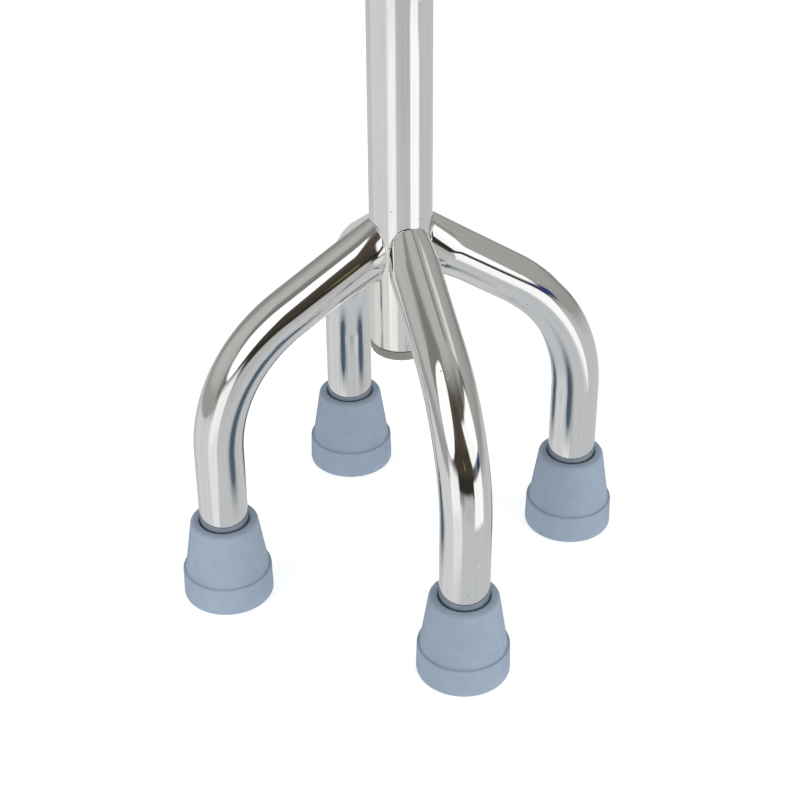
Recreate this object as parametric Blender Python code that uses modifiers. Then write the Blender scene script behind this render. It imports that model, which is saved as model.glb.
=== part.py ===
"""Quad cane: a chrome-plated steel cane on four bent legs, with rubber ferrules and a telescoping handle.

Units are metres, +Z is up and the floor is z = 0. The column's axis is the Z axis and +Y is the walking
direction: the swan neck reaches forward, and the grip runs back over the column. The handle is modelled
at its lowest setting, with the snap button in the lowest hole.
"""

import math

import bmesh
import bpy
from mathutils import Matrix, Vector

# Height of the whole cane at its lowest setting, to the top of the grip's flange
CANE_HEIGHT = 0.7367

# Gaps that pieces in contact keep between their meshes
SEAT_GAP = 0.0003
SLIDE_CLEARANCE = 0.0003

# Column: the outer tube that carries the legs and the row of height holes
COLUMN_DIAMETER = 0.025
COLUMN_WALL = 0.0012
COLUMN_BELOW_LEGS = 0.0511
HOLE_DIAMETER = 0.0084
HOLE_PITCH = 0.0254
HOLE_COUNT = 7
LOWEST_HOLE_ABOVE_LEGS = 0.1126
COLUMN_TOP_MARGIN = 0.050

# Legs: four bent tubes welded round the column; their upper ends are pressed narrow at the sides and sag
# below, between the start and end distances from the column's axis
LEG_DIAMETER = 0.0205
LEG_WALL = 0.0015
LEG_UPRIGHT = 0.0716
LEG_BEND_RADIUS = 0.0715
LEG_SLOPE = math.radians(33.8)
FOOT_PITCH = 0.1112
LEG_PRESS_DEPTH = 0.0036
LEG_PRESS_START = 0.004
LEG_PRESS_END = 0.022
LEG_PRESS_BLUNTNESS = 2.3
LEG_SAG_DEPTH = 0.0022
LEG_SAG_START = 0.0125
LEG_SAG_END = 0.033
FADE_ROUNDING = 0.14
WELD_BEAD_RADIUS = 0.0009

# Ferrules: rubber feet with a collar at the floor, a tapered body, a rounded rim and a ringed tread
FERRULE_HEIGHT = 0.0372
FERRULE_FLOOR = 0.010
FERRULE_RIM_WALL = 0.00375
FERRULE_TAPER = 0.0036
RIM_OUTER_RADIUS = 0.0016
RIM_INNER_RADIUS = 0.0005
COLLAR_HEIGHT = 0.0131
COLLAR_LEDGE = 0.0011
COLLAR_FLARE = 0.0003
COLLAR_EDGE_RADIUS = 0.0009
TREAD_LAND = 0.0030
TREAD_GROOVE = 0.0022
TREAD_DEPTH = 0.0018
TREAD_GROOVES = 2
WASHER_THICKNESS = 0.0015
WASHER_HOLE_DIAMETER = 0.006

# Plug in the column's lower end, with a rim as wide as the tube and a hollow spigot inside it
PLUG_RIM_HEIGHT = 0.0041
PLUG_RIM_EDGE = 0.0012
PLUG_SPIGOT_HEIGHT = 0.016
PLUG_WALL = 0.002
PLUG_LEAD_IN = 0.0008

# Cap on the column's upper end, which guides the handle shaft
CAP_WALL = 0.0016
CAP_SKIRT = 0.012
CAP_CROWN = 0.004
CAP_EDGE_RADIUS = 0.0012

# Handle shaft: the inner tube, bent to a swan neck that carries the grip over the column
SHAFT_WALL = 0.0012
SHAFT_BELOW_BUTTON = 0.022
NECK_LEAN = math.radians(50)
NECK_LOWER_RADIUS = 0.050
NECK_UPPER_RADIUS = 0.035
NECK_REACH = 0.080

# Bush in the shaft's lower end, which slides in the column
BUSH_RIM = 0.004
BUSH_SPIGOT = 0.010
BUSH_WALL = 0.002
BUSH_EDGE_RADIUS = 0.0008

# Snap button in the shaft, and the U spring that carries it
BUTTON_CLEARANCE = 0.0003
BUTTON_STAND = 0.0026
BUTTON_TIP_RADIUS = 0.0023
BUTTON_HEAD_LEDGE = 0.0016
BUTTON_HEAD_THICKNESS = 0.0012
SPRING_STRIP = 0.0004
SPRING_WIDTH = 0.0070
SPRING_LENGTH = 0.036
SPRING_FOOT = 0.0065

# Grip: a moulded sleeve on the shaft's level end, with a flange in front and four finger waves below
GRIP_LENGTH = 0.112
GRIP_BEHIND_NECK = 0.002
GRIP_SIDE_WALL = 0.0037
GRIP_TOP_WALL = 0.00445
GRIP_LOW_WALL = 0.00645
GRIP_FLANGE_STAND = 0.0045
GRIP_FLANGE_THICKNESS = 0.0045
GRIP_FLANGE_EDGE = 0.0011
GRIP_WAVE_DEPTH = 0.0022
GRIP_WAVES = 4
GRIP_END_WALL = 0.005
GRIP_END_ROUNDING = 0.011
GRIP_END_SHARE = 0.62

# Facets: sides round each tube and turned piece, and rings along each bend
COLUMN_SIDES = 36
LEG_SIDES = 16
BORE_SIDES = 12
BEAD_SIDES = 6
BEAD_POINTS = 24
SHAFT_SIDES = 18
SHAFT_BORE_SIDES = 14
FERRULE_SIDES = 22
PLUG_SIDES = 24
WASHER_SIDES = 16
BUTTON_SIDES = 16
HOLE_SIDES = 12
GRIP_SIDES = 24
EDGE_STEPS = 2
OPENING_RINGS = 7
LEG_BEND_RINGS = 8
NECK_LOWER_RINGS = 7
NECK_UPPER_RINGS = 12
WAVE_RINGS = 6
GRIP_END_RINGS = 5
SPRING_BEND_POINTS = 8
SMOOTH_ANGLE = math.radians(35)
MERGE_DISTANCE = 0.00001

# Colours and finishes of the materials, as base colour, metallic and roughness
FINISHES = {
    "chrome": ((0.78, 0.78, 0.77), 1.0, 0.08),
    "ferrule_rubber": ((0.30, 0.37, 0.47), 0.0, 0.62),
    "dark_plastic": ((0.17, 0.17, 0.16), 0.0, 0.45),
    "grip_vinyl": ((0.30, 0.37, 0.47), 0.0, 0.50),
    "spring_steel": ((0.45, 0.45, 0.46), 1.0, 0.30),
    "zinc_steel": ((0.60, 0.60, 0.58), 1.0, 0.35),
}

# The base, from the floor up: washers and leg ends in the ferrules, then the legs' three stretches
LEG_RADIUS = LEG_DIAMETER / 2
FOOT_RADIUS = FOOT_PITCH / math.sqrt(2)
FERRULE_BORE = LEG_RADIUS + SEAT_GAP
WASHER_BOTTOM = FERRULE_FLOOR + SEAT_GAP
WASHER_TOP = WASHER_BOTTOM + WASHER_THICKNESS
LEG_BOTTOM = WASHER_TOP + SEAT_GAP
LEG_SLOPE_REACH = FOOT_RADIUS - LEG_BEND_RADIUS * (1 - math.sin(LEG_SLOPE))
LEG_SLOPE_LENGTH = LEG_SLOPE_REACH / math.cos(LEG_SLOPE)
LEG_BEND_LENGTH = LEG_BEND_RADIUS * (math.pi / 2 - LEG_SLOPE)
LEG_LENGTH = LEG_SLOPE_LENGTH + LEG_BEND_LENGTH + LEG_UPRIGHT - LEG_BOTTOM
LEG_SLOPE_START = LEG_UPRIGHT + LEG_BEND_RADIUS * math.cos(LEG_SLOPE)
LEG_JOINT_HEIGHT = LEG_SLOPE_START + LEG_SLOPE_REACH * math.tan(LEG_SLOPE)

# The column and the cap on it
COLUMN_RADIUS = COLUMN_DIAMETER / 2
COLUMN_BORE = COLUMN_RADIUS - COLUMN_WALL
COLUMN_BOTTOM = LEG_JOINT_HEIGHT - COLUMN_BELOW_LEGS
LOWEST_HOLE = LEG_JOINT_HEIGHT + LOWEST_HOLE_ABOVE_LEGS
COLUMN_TOP = LOWEST_HOLE + (HOLE_COUNT - 1) * HOLE_PITCH + COLUMN_TOP_MARGIN
CAP_SEAT = COLUMN_TOP + SEAT_GAP
CAP_TOP = CAP_SEAT + CAP_CROWN

# The shaft, its button and its grip
SHAFT_RADIUS = COLUMN_BORE - SLIDE_CLEARANCE
SHAFT_BORE = SHAFT_RADIUS - SHAFT_WALL
SHAFT_BOTTOM = LOWEST_HOLE - SHAFT_BELOW_BUTTON
BUTTON_RADIUS = HOLE_DIAMETER / 2 - BUTTON_CLEARANCE
BUTTON_HEAD_RADIUS = BUTTON_RADIUS + BUTTON_HEAD_LEDGE
BUTTON_TIP = COLUMN_RADIUS + BUTTON_STAND
BUTTON_HEAD_FRONT = math.sqrt(SHAFT_BORE**2 - BUTTON_HEAD_RADIUS**2) - SEAT_GAP
BUTTON_HEAD_BACK = BUTTON_HEAD_FRONT - BUTTON_HEAD_THICKNESS
GRIP_BORE = SHAFT_RADIUS + SEAT_GAP
GRIP_AXIS = CANE_HEIGHT - GRIP_BORE - GRIP_SIDE_WALL - GRIP_FLANGE_STAND

# The swan neck, from its lower arc's start up to the grip's axis
NECK_CENTRE_Y = NECK_REACH - NECK_UPPER_RADIUS - SHAFT_RADIUS
NECK_LOWER_END_Y = NECK_LOWER_RADIUS * (1 - math.cos(NECK_LEAN))
NECK_UPPER_START_Y = NECK_CENTRE_Y + NECK_UPPER_RADIUS * math.cos(NECK_LEAN)
NECK_STRAIGHT_RISE = (NECK_UPPER_START_Y - NECK_LOWER_END_Y) / math.tan(NECK_LEAN)
NECK_UPPER_START = GRIP_AXIS - NECK_UPPER_RADIUS * (1 + math.sin(NECK_LEAN))
NECK_START = NECK_UPPER_START - NECK_STRAIGHT_RISE - NECK_LOWER_RADIUS * math.sin(NECK_LEAN)
GRIP_FRONT = NECK_CENTRE_Y - GRIP_BEHIND_NECK
GRIP_REAR = GRIP_FRONT - GRIP_LENGTH
GRIP_BORE_END = GRIP_REAR + GRIP_END_WALL
SHAFT_END = GRIP_BORE_END + SEAT_GAP

# The four corners of the base, as signs of X and Y
CORNERS = {
    "front_left": (-1, 1),
    "front_right": (1, 1),
    "rear_left": (-1, -1),
    "rear_right": (1, -1),
}


def clear_scene():
    """Removes whatever the file holds, so that only the cane is left."""
    for obj in list(bpy.data.objects):
        bpy.data.objects.remove(obj, do_unlink=True)


def collection(name):
    """Makes a collection in the scene."""
    made = bpy.data.collections.new(name)
    bpy.context.scene.collection.children.link(made)
    return made


def material(name):
    """One of the finishes as a Principled material."""
    found = bpy.data.materials.get(name)
    if found:
        return found
    colour, metallic, roughness = FINISHES[name]
    made = bpy.data.materials.new(name)
    made.use_nodes = True
    shader = made.node_tree.nodes["Principled BSDF"]
    shader.inputs["Base Color"].default_value = (*colour, 1.0)
    shader.inputs["Metallic"].default_value = metallic
    shader.inputs["Roughness"].default_value = roughness
    made.diffuse_color = (*colour, 1.0)
    return made


def add_object(name, data, finish, group):
    """Links an object with this data into a collection and gives it its finish."""
    obj = bpy.data.objects.new(name, data)
    group.objects.link(obj)
    if finish:
        data.materials.append(material(finish))
    return obj


def smooth(mesh):
    """Shades a mesh round, with its real edges kept sharp."""
    mesh.shade_smooth()
    mesh.set_sharp_from_angle(angle=SMOOTH_ANGLE)


def evaluated_mesh(obj):
    """A plain mesh of the object with its modifiers or its curve bevel applied."""
    bpy.context.view_layer.update()
    graph = bpy.context.evaluated_depsgraph_get()
    return bpy.data.meshes.new_from_object(obj.evaluated_get(graph))


def as_cutter(obj):
    """Marks an object as a tool for Booleans, which no render shows."""
    obj.hide_render = True
    obj.display_type = "WIRE"
    return obj


def boolean(obj, operation, tool):
    """Adds a Boolean modifier with the exact solver."""
    modifier = obj.modifiers.new(operation.lower() + "_" + tool.name, "BOOLEAN")
    modifier.operation = operation
    modifier.solver = "EXACT"
    modifier.object = tool


def rounded(corners):
    """Turns (x, z, radius) corners into profile points, with an arc at each corner that has a radius."""
    points = []
    for index, (x, z, radius) in enumerate(corners):
        here = Vector((x, z))
        if not radius:
            points.append(here)
            continue
        following = corners[(index + 1) % len(corners)]
        before = (Vector(corners[index - 1][:2]) - here).normalized()
        after = (Vector(following[:2]) - here).normalized()
        half = before.angle(after) / 2
        reach = radius / math.tan(half)
        centre = here + (before + after).normalized() * (radius / math.sin(half))
        start = here + before * reach - centre
        end = here + after * reach - centre
        turn = start.angle_signed(end)
        for step in range(EDGE_STEPS + 1):
            # Vector.angle_signed counts clockwise turns as positive
            points.append(centre + Matrix.Rotation(-turn * step / EDGE_STEPS, 2) @ start)
    return points


def turned(name, profile, finish, group, sides, closed=False):
    """Revolves an (x, z) profile about the Z axis. At +X the outer side runs from top to bottom."""
    mesh = bpy.data.meshes.new(name)
    shape = bmesh.new()
    points = [shape.verts.new((x, 0.0, z)) for x, z in profile]
    for first, second in zip(points, points[1:]):
        shape.edges.new((first, second))
    if closed:
        shape.edges.new((points[-1], points[0]))
    shape.to_mesh(mesh)
    shape.free()
    obj = add_object(name, mesh, finish, group)
    screw = obj.modifiers.new("turn", "SCREW")
    screw.axis = "Z"
    screw.steps = sides
    screw.render_steps = sides
    screw.use_merge_vertices = True
    screw.merge_threshold = MERGE_DISTANCE
    screw.use_smooth_shade = True
    return obj


def round_bar(name, radius, low, high, group, sides):
    """A plain cylinder along Z between two heights, as a cutter."""
    mesh = bpy.data.meshes.new(name)
    shape = bmesh.new()
    bmesh.ops.create_cone(
        shape,
        cap_ends=True,
        segments=sides,
        radius1=radius,
        radius2=radius,
        depth=high - low,
        matrix=Matrix.Translation((0, 0, (low + high) / 2)),
    )
    shape.to_mesh(mesh)
    shape.free()
    return as_cutter(add_object(name, mesh, None, group))


def tube(name, points, radius, sides, finish, group, cyclic=False):
    """A round bar along a route, made as a curve with a bevel and turned into a mesh with welded caps."""
    curve = bpy.data.curves.new(name, "CURVE")
    curve.dimensions = "3D"
    curve.bevel_depth = radius
    curve.bevel_resolution = (sides - 4) // 2
    curve.use_fill_caps = True
    spline = curve.splines.new("POLY")
    spline.points.add(len(points) - 1)
    for place, point in zip(points, spline.points):
        point.co = (*place, 1.0)
    spline.use_cyclic_u = cyclic
    guide = add_object(name + "_route", curve, None, group)
    mesh = evaluated_mesh(guide)
    bpy.data.objects.remove(guide, do_unlink=True)
    shape = bmesh.new()
    shape.from_mesh(mesh)
    bmesh.ops.remove_doubles(shape, verts=shape.verts, dist=MERGE_DISTANCE)
    bmesh.ops.recalc_face_normals(shape, faces=shape.faces)
    shape.to_mesh(mesh)
    shape.free()
    smooth(mesh)
    return add_object(name, mesh, finish, group)


def loft(name, rings, finish, group):
    """A solid skinned over rings of as many points each, with flat ends."""
    mesh = bpy.data.meshes.new(name)
    shape = bmesh.new()
    loops = [[shape.verts.new(point) for point in ring] for ring in rings]
    for first, second in zip(loops, loops[1:]):
        for index in range(len(first)):
            following = (index + 1) % len(first)
            shape.faces.new((first[index], first[following], second[following], second[index]))
    shape.faces.new(loops[0])
    shape.faces.new(loops[-1])
    bmesh.ops.recalc_face_normals(shape, faces=shape.faces)
    shape.to_mesh(mesh)
    shape.free()
    smooth(mesh)
    return add_object(name, mesh, finish, group)


def arc(centre, radius, start, end, steps):
    """Points on an arc round a centre, without the first one. Angles count up from the first axis."""
    angles = [start + (end - start) * step / steps for step in range(1, steps + 1)]
    return [(centre[0] + radius * math.cos(a), centre[1] + radius * math.sin(a)) for a in angles]


def button_direction():
    """The level direction in which the snap button points out: rearward, towards the user."""
    return Vector((0.0, -1.0, 0.0))


def hole_cutter(name, count, cutters):
    """A row of bars, each one through the walls on the side that the snap button faces."""
    mesh = bpy.data.meshes.new(name)
    shape = bmesh.new()
    outward = button_direction()
    facing = outward.to_track_quat("Z", "Y").to_matrix().to_4x4()
    inner = SHAFT_BORE / 2
    outer = COLUMN_RADIUS + SHAFT_BORE / 2
    for index in range(count):
        place = outward * (inner + outer) / 2 + Vector((0, 0, LOWEST_HOLE + index * HOLE_PITCH))
        bmesh.ops.create_cone(
            shape,
            cap_ends=True,
            segments=HOLE_SIDES,
            radius1=HOLE_DIAMETER / 2,
            radius2=HOLE_DIAMETER / 2,
            depth=outer - inner,
            matrix=Matrix.Translation(place) @ facing,
        )
    shape.to_mesh(mesh)
    shape.free()
    return as_cutter(add_object(name, mesh, None, cutters))


def make_column(group, cutters):
    """The outer tube, with the row of height holes through one wall."""
    profile = [
        (COLUMN_BORE, COLUMN_BOTTOM),
        (COLUMN_BORE, COLUMN_TOP),
        (COLUMN_RADIUS, COLUMN_TOP),
        (COLUMN_RADIUS, COLUMN_BOTTOM),
    ]
    column = turned("column", profile, "chrome", group, COLUMN_SIDES, closed=True)
    boolean(column, "DIFFERENCE", hole_cutter("column_hole_cutter", HOLE_COUNT, cutters))


def leg_place(distance):
    """The leg's centreline (x, z) and its downward slope at a distance from the column's axis."""
    if distance <= LEG_SLOPE_LENGTH:
        x = distance * math.cos(LEG_SLOPE)
        return x, LEG_JOINT_HEIGHT - distance * math.sin(LEG_SLOPE), LEG_SLOPE
    past_slope = distance - LEG_SLOPE_LENGTH
    slope = LEG_SLOPE + min(past_slope / LEG_BEND_RADIUS, math.pi / 2 - LEG_SLOPE)
    x = FOOT_RADIUS - LEG_BEND_RADIUS * (1 - math.sin(slope))
    z = LEG_UPRIGHT + LEG_BEND_RADIUS * math.cos(slope) - max(past_slope - LEG_BEND_LENGTH, 0.0)
    return x, z, slope


def leg_stations():
    """Distances along the leg at which its section is drawn: through the opening, the bend and the foot."""
    reach = LEG_SAG_END - LEG_PRESS_START
    opening = [LEG_PRESS_START + reach * ring / OPENING_RINGS for ring in range(OPENING_RINGS + 1)]
    bend = [LEG_SLOPE_LENGTH + LEG_BEND_LENGTH * ring / LEG_BEND_RINGS for ring in range(LEG_BEND_RINGS + 1)]
    return sorted(set(opening + bend))


def fading(distance, start, end):
    """A share that falls evenly from 1 to 0 along the leg and rounds off at its lower end."""
    left = (end - distance) / (end - start)
    if left < FADE_ROUNDING:
        return max(left + FADE_ROUNDING, 0.0) ** 2 / (4 * FADE_ROUNDING)
    return min(left, 1.0)


def section_point(angle, distance, inset=0.0):
    """Across and upward place of a point on the leg's section, which opens from a pressed oval to a circle."""
    pressed = fading(distance, LEG_PRESS_START, LEG_PRESS_END)
    width = LEG_RADIUS - LEG_PRESS_DEPTH * pressed * (1 + pressed) / 2 - inset
    height = LEG_RADIUS - inset
    if math.sin(angle) < 0:
        height += LEG_SAG_DEPTH * fading(distance, LEG_SAG_START, LEG_SAG_END)
    power = 2 / (2 + (LEG_PRESS_BLUNTNESS - 2) * pressed)
    across = math.copysign(width * abs(math.cos(angle)) ** power, math.cos(angle))
    rise = math.copysign(height * abs(math.sin(angle)) ** power, math.sin(angle))
    return across, rise


def leg_rings(inset, past_ends, sides):
    """Rings of points round the leg along its length, drawn in by an inset and run past both ends."""
    rings = []
    for distance in [-past_ends, *leg_stations(), LEG_LENGTH + past_ends]:
        x, z, slope = leg_place(distance)
        ring = []
        for index in range(sides):
            across, rise = section_point(2 * math.pi * index / sides, distance, inset)
            ring.append(Vector((x + rise * math.sin(slope), across, z + rise * math.cos(slope))))
        rings.append(ring)
    return rings


def weld_route():
    """The closed line where the leg's squeezed surface meets the column's."""
    route = []
    for index in range(BEAD_POINTS):
        angle = 2 * math.pi * index / BEAD_POINTS
        distance = COLUMN_RADIUS
        for _ in range(8):
            across, rise = section_point(angle, distance)
            out = math.sqrt(COLUMN_RADIUS**2 - across**2)
            distance = (out - rise * math.sin(LEG_SLOPE)) / math.cos(LEG_SLOPE)
        z = LEG_JOINT_HEIGHT - distance * math.sin(LEG_SLOPE) + rise * math.cos(LEG_SLOPE)
        route.append((out, across, z))
    return route


def quarter_block(cutters):
    """A block that holds one leg's quarter of the base, with an upright edge on the column's axis."""
    size = 2 * (FOOT_RADIUS + LEG_JOINT_HEIGHT)
    mesh = bpy.data.meshes.new("leg_quarter_block")
    shape = bmesh.new()
    place = Matrix.Translation((size / math.sqrt(2) + SEAT_GAP, 0, LEG_JOINT_HEIGHT / 2))
    bmesh.ops.create_cube(shape, size=size, matrix=place @ Matrix.Rotation(math.pi / 4, 4, "Z"))
    shape.to_mesh(mesh)
    shape.free()
    return as_cutter(add_object("leg_quarter_block", mesh, None, cutters))


def leg_mesh(cutters):
    """One leg along +X: the bent tube with its squeezed end, weld bead, bore and fish-mouth cut."""
    leg = loft("leg_blank", leg_rings(0.0, 0.0, LEG_SIDES), None, cutters)
    bead = tube("leg_weld_bead", weld_route(), WELD_BEAD_RADIUS, BEAD_SIDES, None, cutters, cyclic=True)
    bore = loft("leg_bore_cutter", leg_rings(LEG_WALL, LEG_WALL, BORE_SIDES), None, cutters)
    mouth = round_bar(
        "leg_mouth_cutter",
        COLUMN_RADIUS + SEAT_GAP,
        COLUMN_BOTTOM,
        COLUMN_TOP,
        cutters,
        COLUMN_SIDES,
    )
    quarter = quarter_block(cutters)
    boolean(leg, "UNION", bead)
    boolean(leg, "DIFFERENCE", bore)
    boolean(leg, "DIFFERENCE", mouth)
    boolean(leg, "INTERSECT", quarter)
    mesh = evaluated_mesh(leg)
    for helper in (leg, bead, bore, mouth, quarter):
        bpy.data.objects.remove(helper, do_unlink=True)
    mesh.name = "leg"
    smooth(mesh)
    mesh.materials.clear()
    mesh.materials.append(material("chrome"))
    return mesh


def ferrule_profile():
    """Half section of a ferrule: bore, rounded rim, tapered body, collar and ringed tread."""
    rim = FERRULE_BORE + FERRULE_RIM_WALL
    foot = rim + FERRULE_TAPER
    collar = foot + COLLAR_LEDGE
    base = collar + COLLAR_FLARE
    corners = [
        (0.0, FERRULE_FLOOR, 0),
        (FERRULE_BORE, FERRULE_FLOOR, 0),
        (FERRULE_BORE, FERRULE_HEIGHT, RIM_INNER_RADIUS),
        (rim, FERRULE_HEIGHT, RIM_OUTER_RADIUS),
        (foot, COLLAR_HEIGHT, 0),
        (collar, COLLAR_HEIGHT, 0),
        (base, 0.0, COLLAR_EDGE_RADIUS),
    ]
    for groove in range(TREAD_GROOVES):
        outer = base - TREAD_LAND - groove * (TREAD_LAND + TREAD_GROOVE)
        inner = outer - TREAD_GROOVE
        corners += [(outer, 0.0, 0), (outer, TREAD_DEPTH, 0), (inner, TREAD_DEPTH, 0), (inner, 0.0, 0)]
    corners.append((0.0, 0.0, 0))
    return rounded(corners)


def washer_profile():
    """Half section of the steel disc that keeps the leg from punching through its ferrule."""
    inner = WASHER_HOLE_DIAMETER / 2
    return [
        (inner, WASHER_BOTTOM),
        (inner, WASHER_TOP),
        (LEG_RADIUS, WASHER_TOP),
        (LEG_RADIUS, WASHER_BOTTOM),
    ]


def make_base(group, cutters):
    """The four legs with their ferrules and washers, one at each corner of the base."""
    leg = leg_mesh(cutters)
    for corner, (side, end) in CORNERS.items():
        piece = bpy.data.objects.new("leg_" + corner, leg)
        group.objects.link(piece)
        piece.rotation_euler.z = math.atan2(end, side)
        ferrule = turned("ferrule_" + corner, ferrule_profile(), "ferrule_rubber", group, FERRULE_SIDES)
        washer_name = "ferrule_washer_" + corner
        washer = turned(washer_name, washer_profile(), "zinc_steel", group, WASHER_SIDES, closed=True)
        for fitting in (ferrule, washer):
            fitting.location = (FOOT_PITCH / 2 * side, FOOT_PITCH / 2 * end, 0.0)


def make_plug(group):
    """The plug in the column's lower end."""
    spigot = COLUMN_BORE - SEAT_GAP
    seat = COLUMN_BOTTOM - SEAT_GAP
    spigot_top = seat + PLUG_SPIGOT_HEIGHT
    corners = [
        (0.0, seat, 0),
        (spigot - PLUG_WALL, seat, 0),
        (spigot - PLUG_WALL, spigot_top, 0),
        (spigot, spigot_top, PLUG_LEAD_IN),
        (spigot, seat, 0),
        (COLUMN_RADIUS, seat, 0),
        (COLUMN_RADIUS, seat - PLUG_RIM_HEIGHT, PLUG_RIM_EDGE),
        (0.0, seat - PLUG_RIM_HEIGHT, 0),
    ]
    turned("column_end_plug", rounded(corners), "dark_plastic", group, PLUG_SIDES)


def make_cap(group):
    """The cap on the column's upper end: a skirt round the tube and a crown that guides the shaft."""
    skirt_bore = COLUMN_RADIUS + SEAT_GAP
    outer = skirt_bore + CAP_WALL
    low = COLUMN_TOP - CAP_SKIRT
    guide = SHAFT_RADIUS + SLIDE_CLEARANCE
    corners = [
        (skirt_bore, low, 0),
        (skirt_bore, CAP_SEAT, 0),
        (guide, CAP_SEAT, 0),
        (guide, CAP_TOP, 0),
        (outer, CAP_TOP, CAP_EDGE_RADIUS),
        (outer, low, 0),
    ]
    turned("column_top_cap", rounded(corners), "dark_plastic", group, PLUG_SIDES, closed=True)


def shaft_route():
    """The shaft's centreline as (y, z): upright, leaning forward, then over and back to the grip."""
    lower_centre = (NECK_LOWER_RADIUS, NECK_START)
    upper_centre = (NECK_CENTRE_Y, GRIP_AXIS - NECK_UPPER_RADIUS)
    points = [(0.0, SHAFT_BOTTOM), (0.0, NECK_START)]
    points += arc(lower_centre, NECK_LOWER_RADIUS, math.pi, math.pi - NECK_LEAN, NECK_LOWER_RINGS)
    points.append((NECK_UPPER_START_Y, NECK_UPPER_START))
    points += arc(upper_centre, NECK_UPPER_RADIUS, -NECK_LEAN, math.pi / 2, NECK_UPPER_RINGS)
    points.append((SHAFT_END, GRIP_AXIS))
    return points


def make_shaft(group, cutters):
    """The inner tube with its swan neck, bored through and with the snap button's hole."""
    route = [Vector((0.0, y, z)) for y, z in shaft_route()]
    shaft = tube("handle_shaft", route, SHAFT_RADIUS, SHAFT_SIDES, "chrome", group)
    past_bottom = route[0] - Vector((0, 0, SHAFT_WALL))
    past_end = route[-1] - Vector((0, SHAFT_WALL, 0))
    bore_route = [past_bottom, *route[1:-1], past_end]
    bore = tube("shaft_bore_cutter", bore_route, SHAFT_BORE, SHAFT_BORE_SIDES, None, cutters)
    boolean(shaft, "DIFFERENCE", as_cutter(bore))
    boolean(shaft, "DIFFERENCE", hole_cutter("shaft_hole_cutter", 1, cutters))
    return shaft


def make_foot_bush(group):
    """The bush in the shaft's lower end: a rim that slides in the column and a hollow spigot."""
    spigot = SHAFT_BORE - SEAT_GAP
    seat = SHAFT_BOTTOM - SEAT_GAP
    inner = spigot - BUSH_WALL
    corners = [
        (inner, seat - BUSH_RIM, 0),
        (inner, seat + BUSH_SPIGOT, 0),
        (spigot, seat + BUSH_SPIGOT, BUSH_EDGE_RADIUS),
        (spigot, seat, 0),
        (SHAFT_RADIUS, seat, 0),
        (SHAFT_RADIUS, seat - BUSH_RIM, BUSH_EDGE_RADIUS),
    ]
    return turned("shaft_foot_bush", rounded(corners), "dark_plastic", group, PLUG_SIDES, closed=True)


def make_button(group):
    """The snap button: a domed pin through both walls, with a flat head inside the shaft."""
    corners = [
        (0.0, BUTTON_TIP, 0),
        (BUTTON_RADIUS, BUTTON_TIP, BUTTON_TIP_RADIUS),
        (BUTTON_RADIUS, BUTTON_HEAD_FRONT, 0),
        (BUTTON_HEAD_RADIUS, BUTTON_HEAD_FRONT, 0),
        (BUTTON_HEAD_RADIUS, BUTTON_HEAD_BACK, 0),
        (0.0, BUTTON_HEAD_BACK, 0),
    ]
    button = turned("snap_button", rounded(corners), "chrome", group, BUTTON_SIDES)
    button.rotation_mode = "QUATERNION"
    button.rotation_quaternion = button_direction().to_track_quat("Z", "Y")
    button.location = (0, 0, LOWEST_HOLE)
    return button


def spring_line():
    """The U spring's middle line as (out, up) from the button's centre, from the front leg to the foot."""
    front = BUTTON_HEAD_BACK - SEAT_GAP - SPRING_STRIP / 2
    chord = math.sqrt(SHAFT_BORE**2 - (SPRING_WIDTH / 2) ** 2)
    back = SEAT_GAP + SPRING_STRIP / 2 - chord
    bend_radius = (front - back) / 4
    foot = BUTTON_HEAD_RADIUS
    bend_centre = ((front + back) / 2, foot + SPRING_LENGTH)
    line = [(front, -foot), (front, foot), (bend_centre[0] + bend_radius, bend_centre[1])]
    line += arc(bend_centre, bend_radius, 0.0, math.pi, SPRING_BEND_POINTS)
    return line + [(back, foot + SPRING_FOOT), (back, foot)]


def make_spring(group):
    """The U spring: a bent steel strip that carries the button and bears on the wall behind it."""
    line = spring_line()
    curve = bpy.data.curves.new("button_spring", "CURVE")
    curve.dimensions = "3D"
    curve.extrude = SPRING_WIDTH / 2
    spline = curve.splines.new("POLY")
    spline.points.add(len(line) - 1)
    for (out, up), point in zip(line, spline.points):
        point.co = (out, up, 0.0, 1.0)
    guide = add_object("button_spring_route", curve, None, group)
    mesh = evaluated_mesh(guide)
    bpy.data.objects.remove(guide, do_unlink=True)
    spring = add_object("button_spring", mesh, "spring_steel", group)
    thickness = spring.modifiers.new("strip", "SOLIDIFY")
    thickness.thickness = SPRING_STRIP
    thickness.offset = 0.0
    out = button_direction()
    upward = Vector((0, 0, 1))
    axes = Matrix((out, upward, out.cross(upward))).transposed().to_4x4()
    spring.matrix_world = Matrix.Translation((0, 0, LOWEST_HOLE)) @ axes
    return spring


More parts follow.
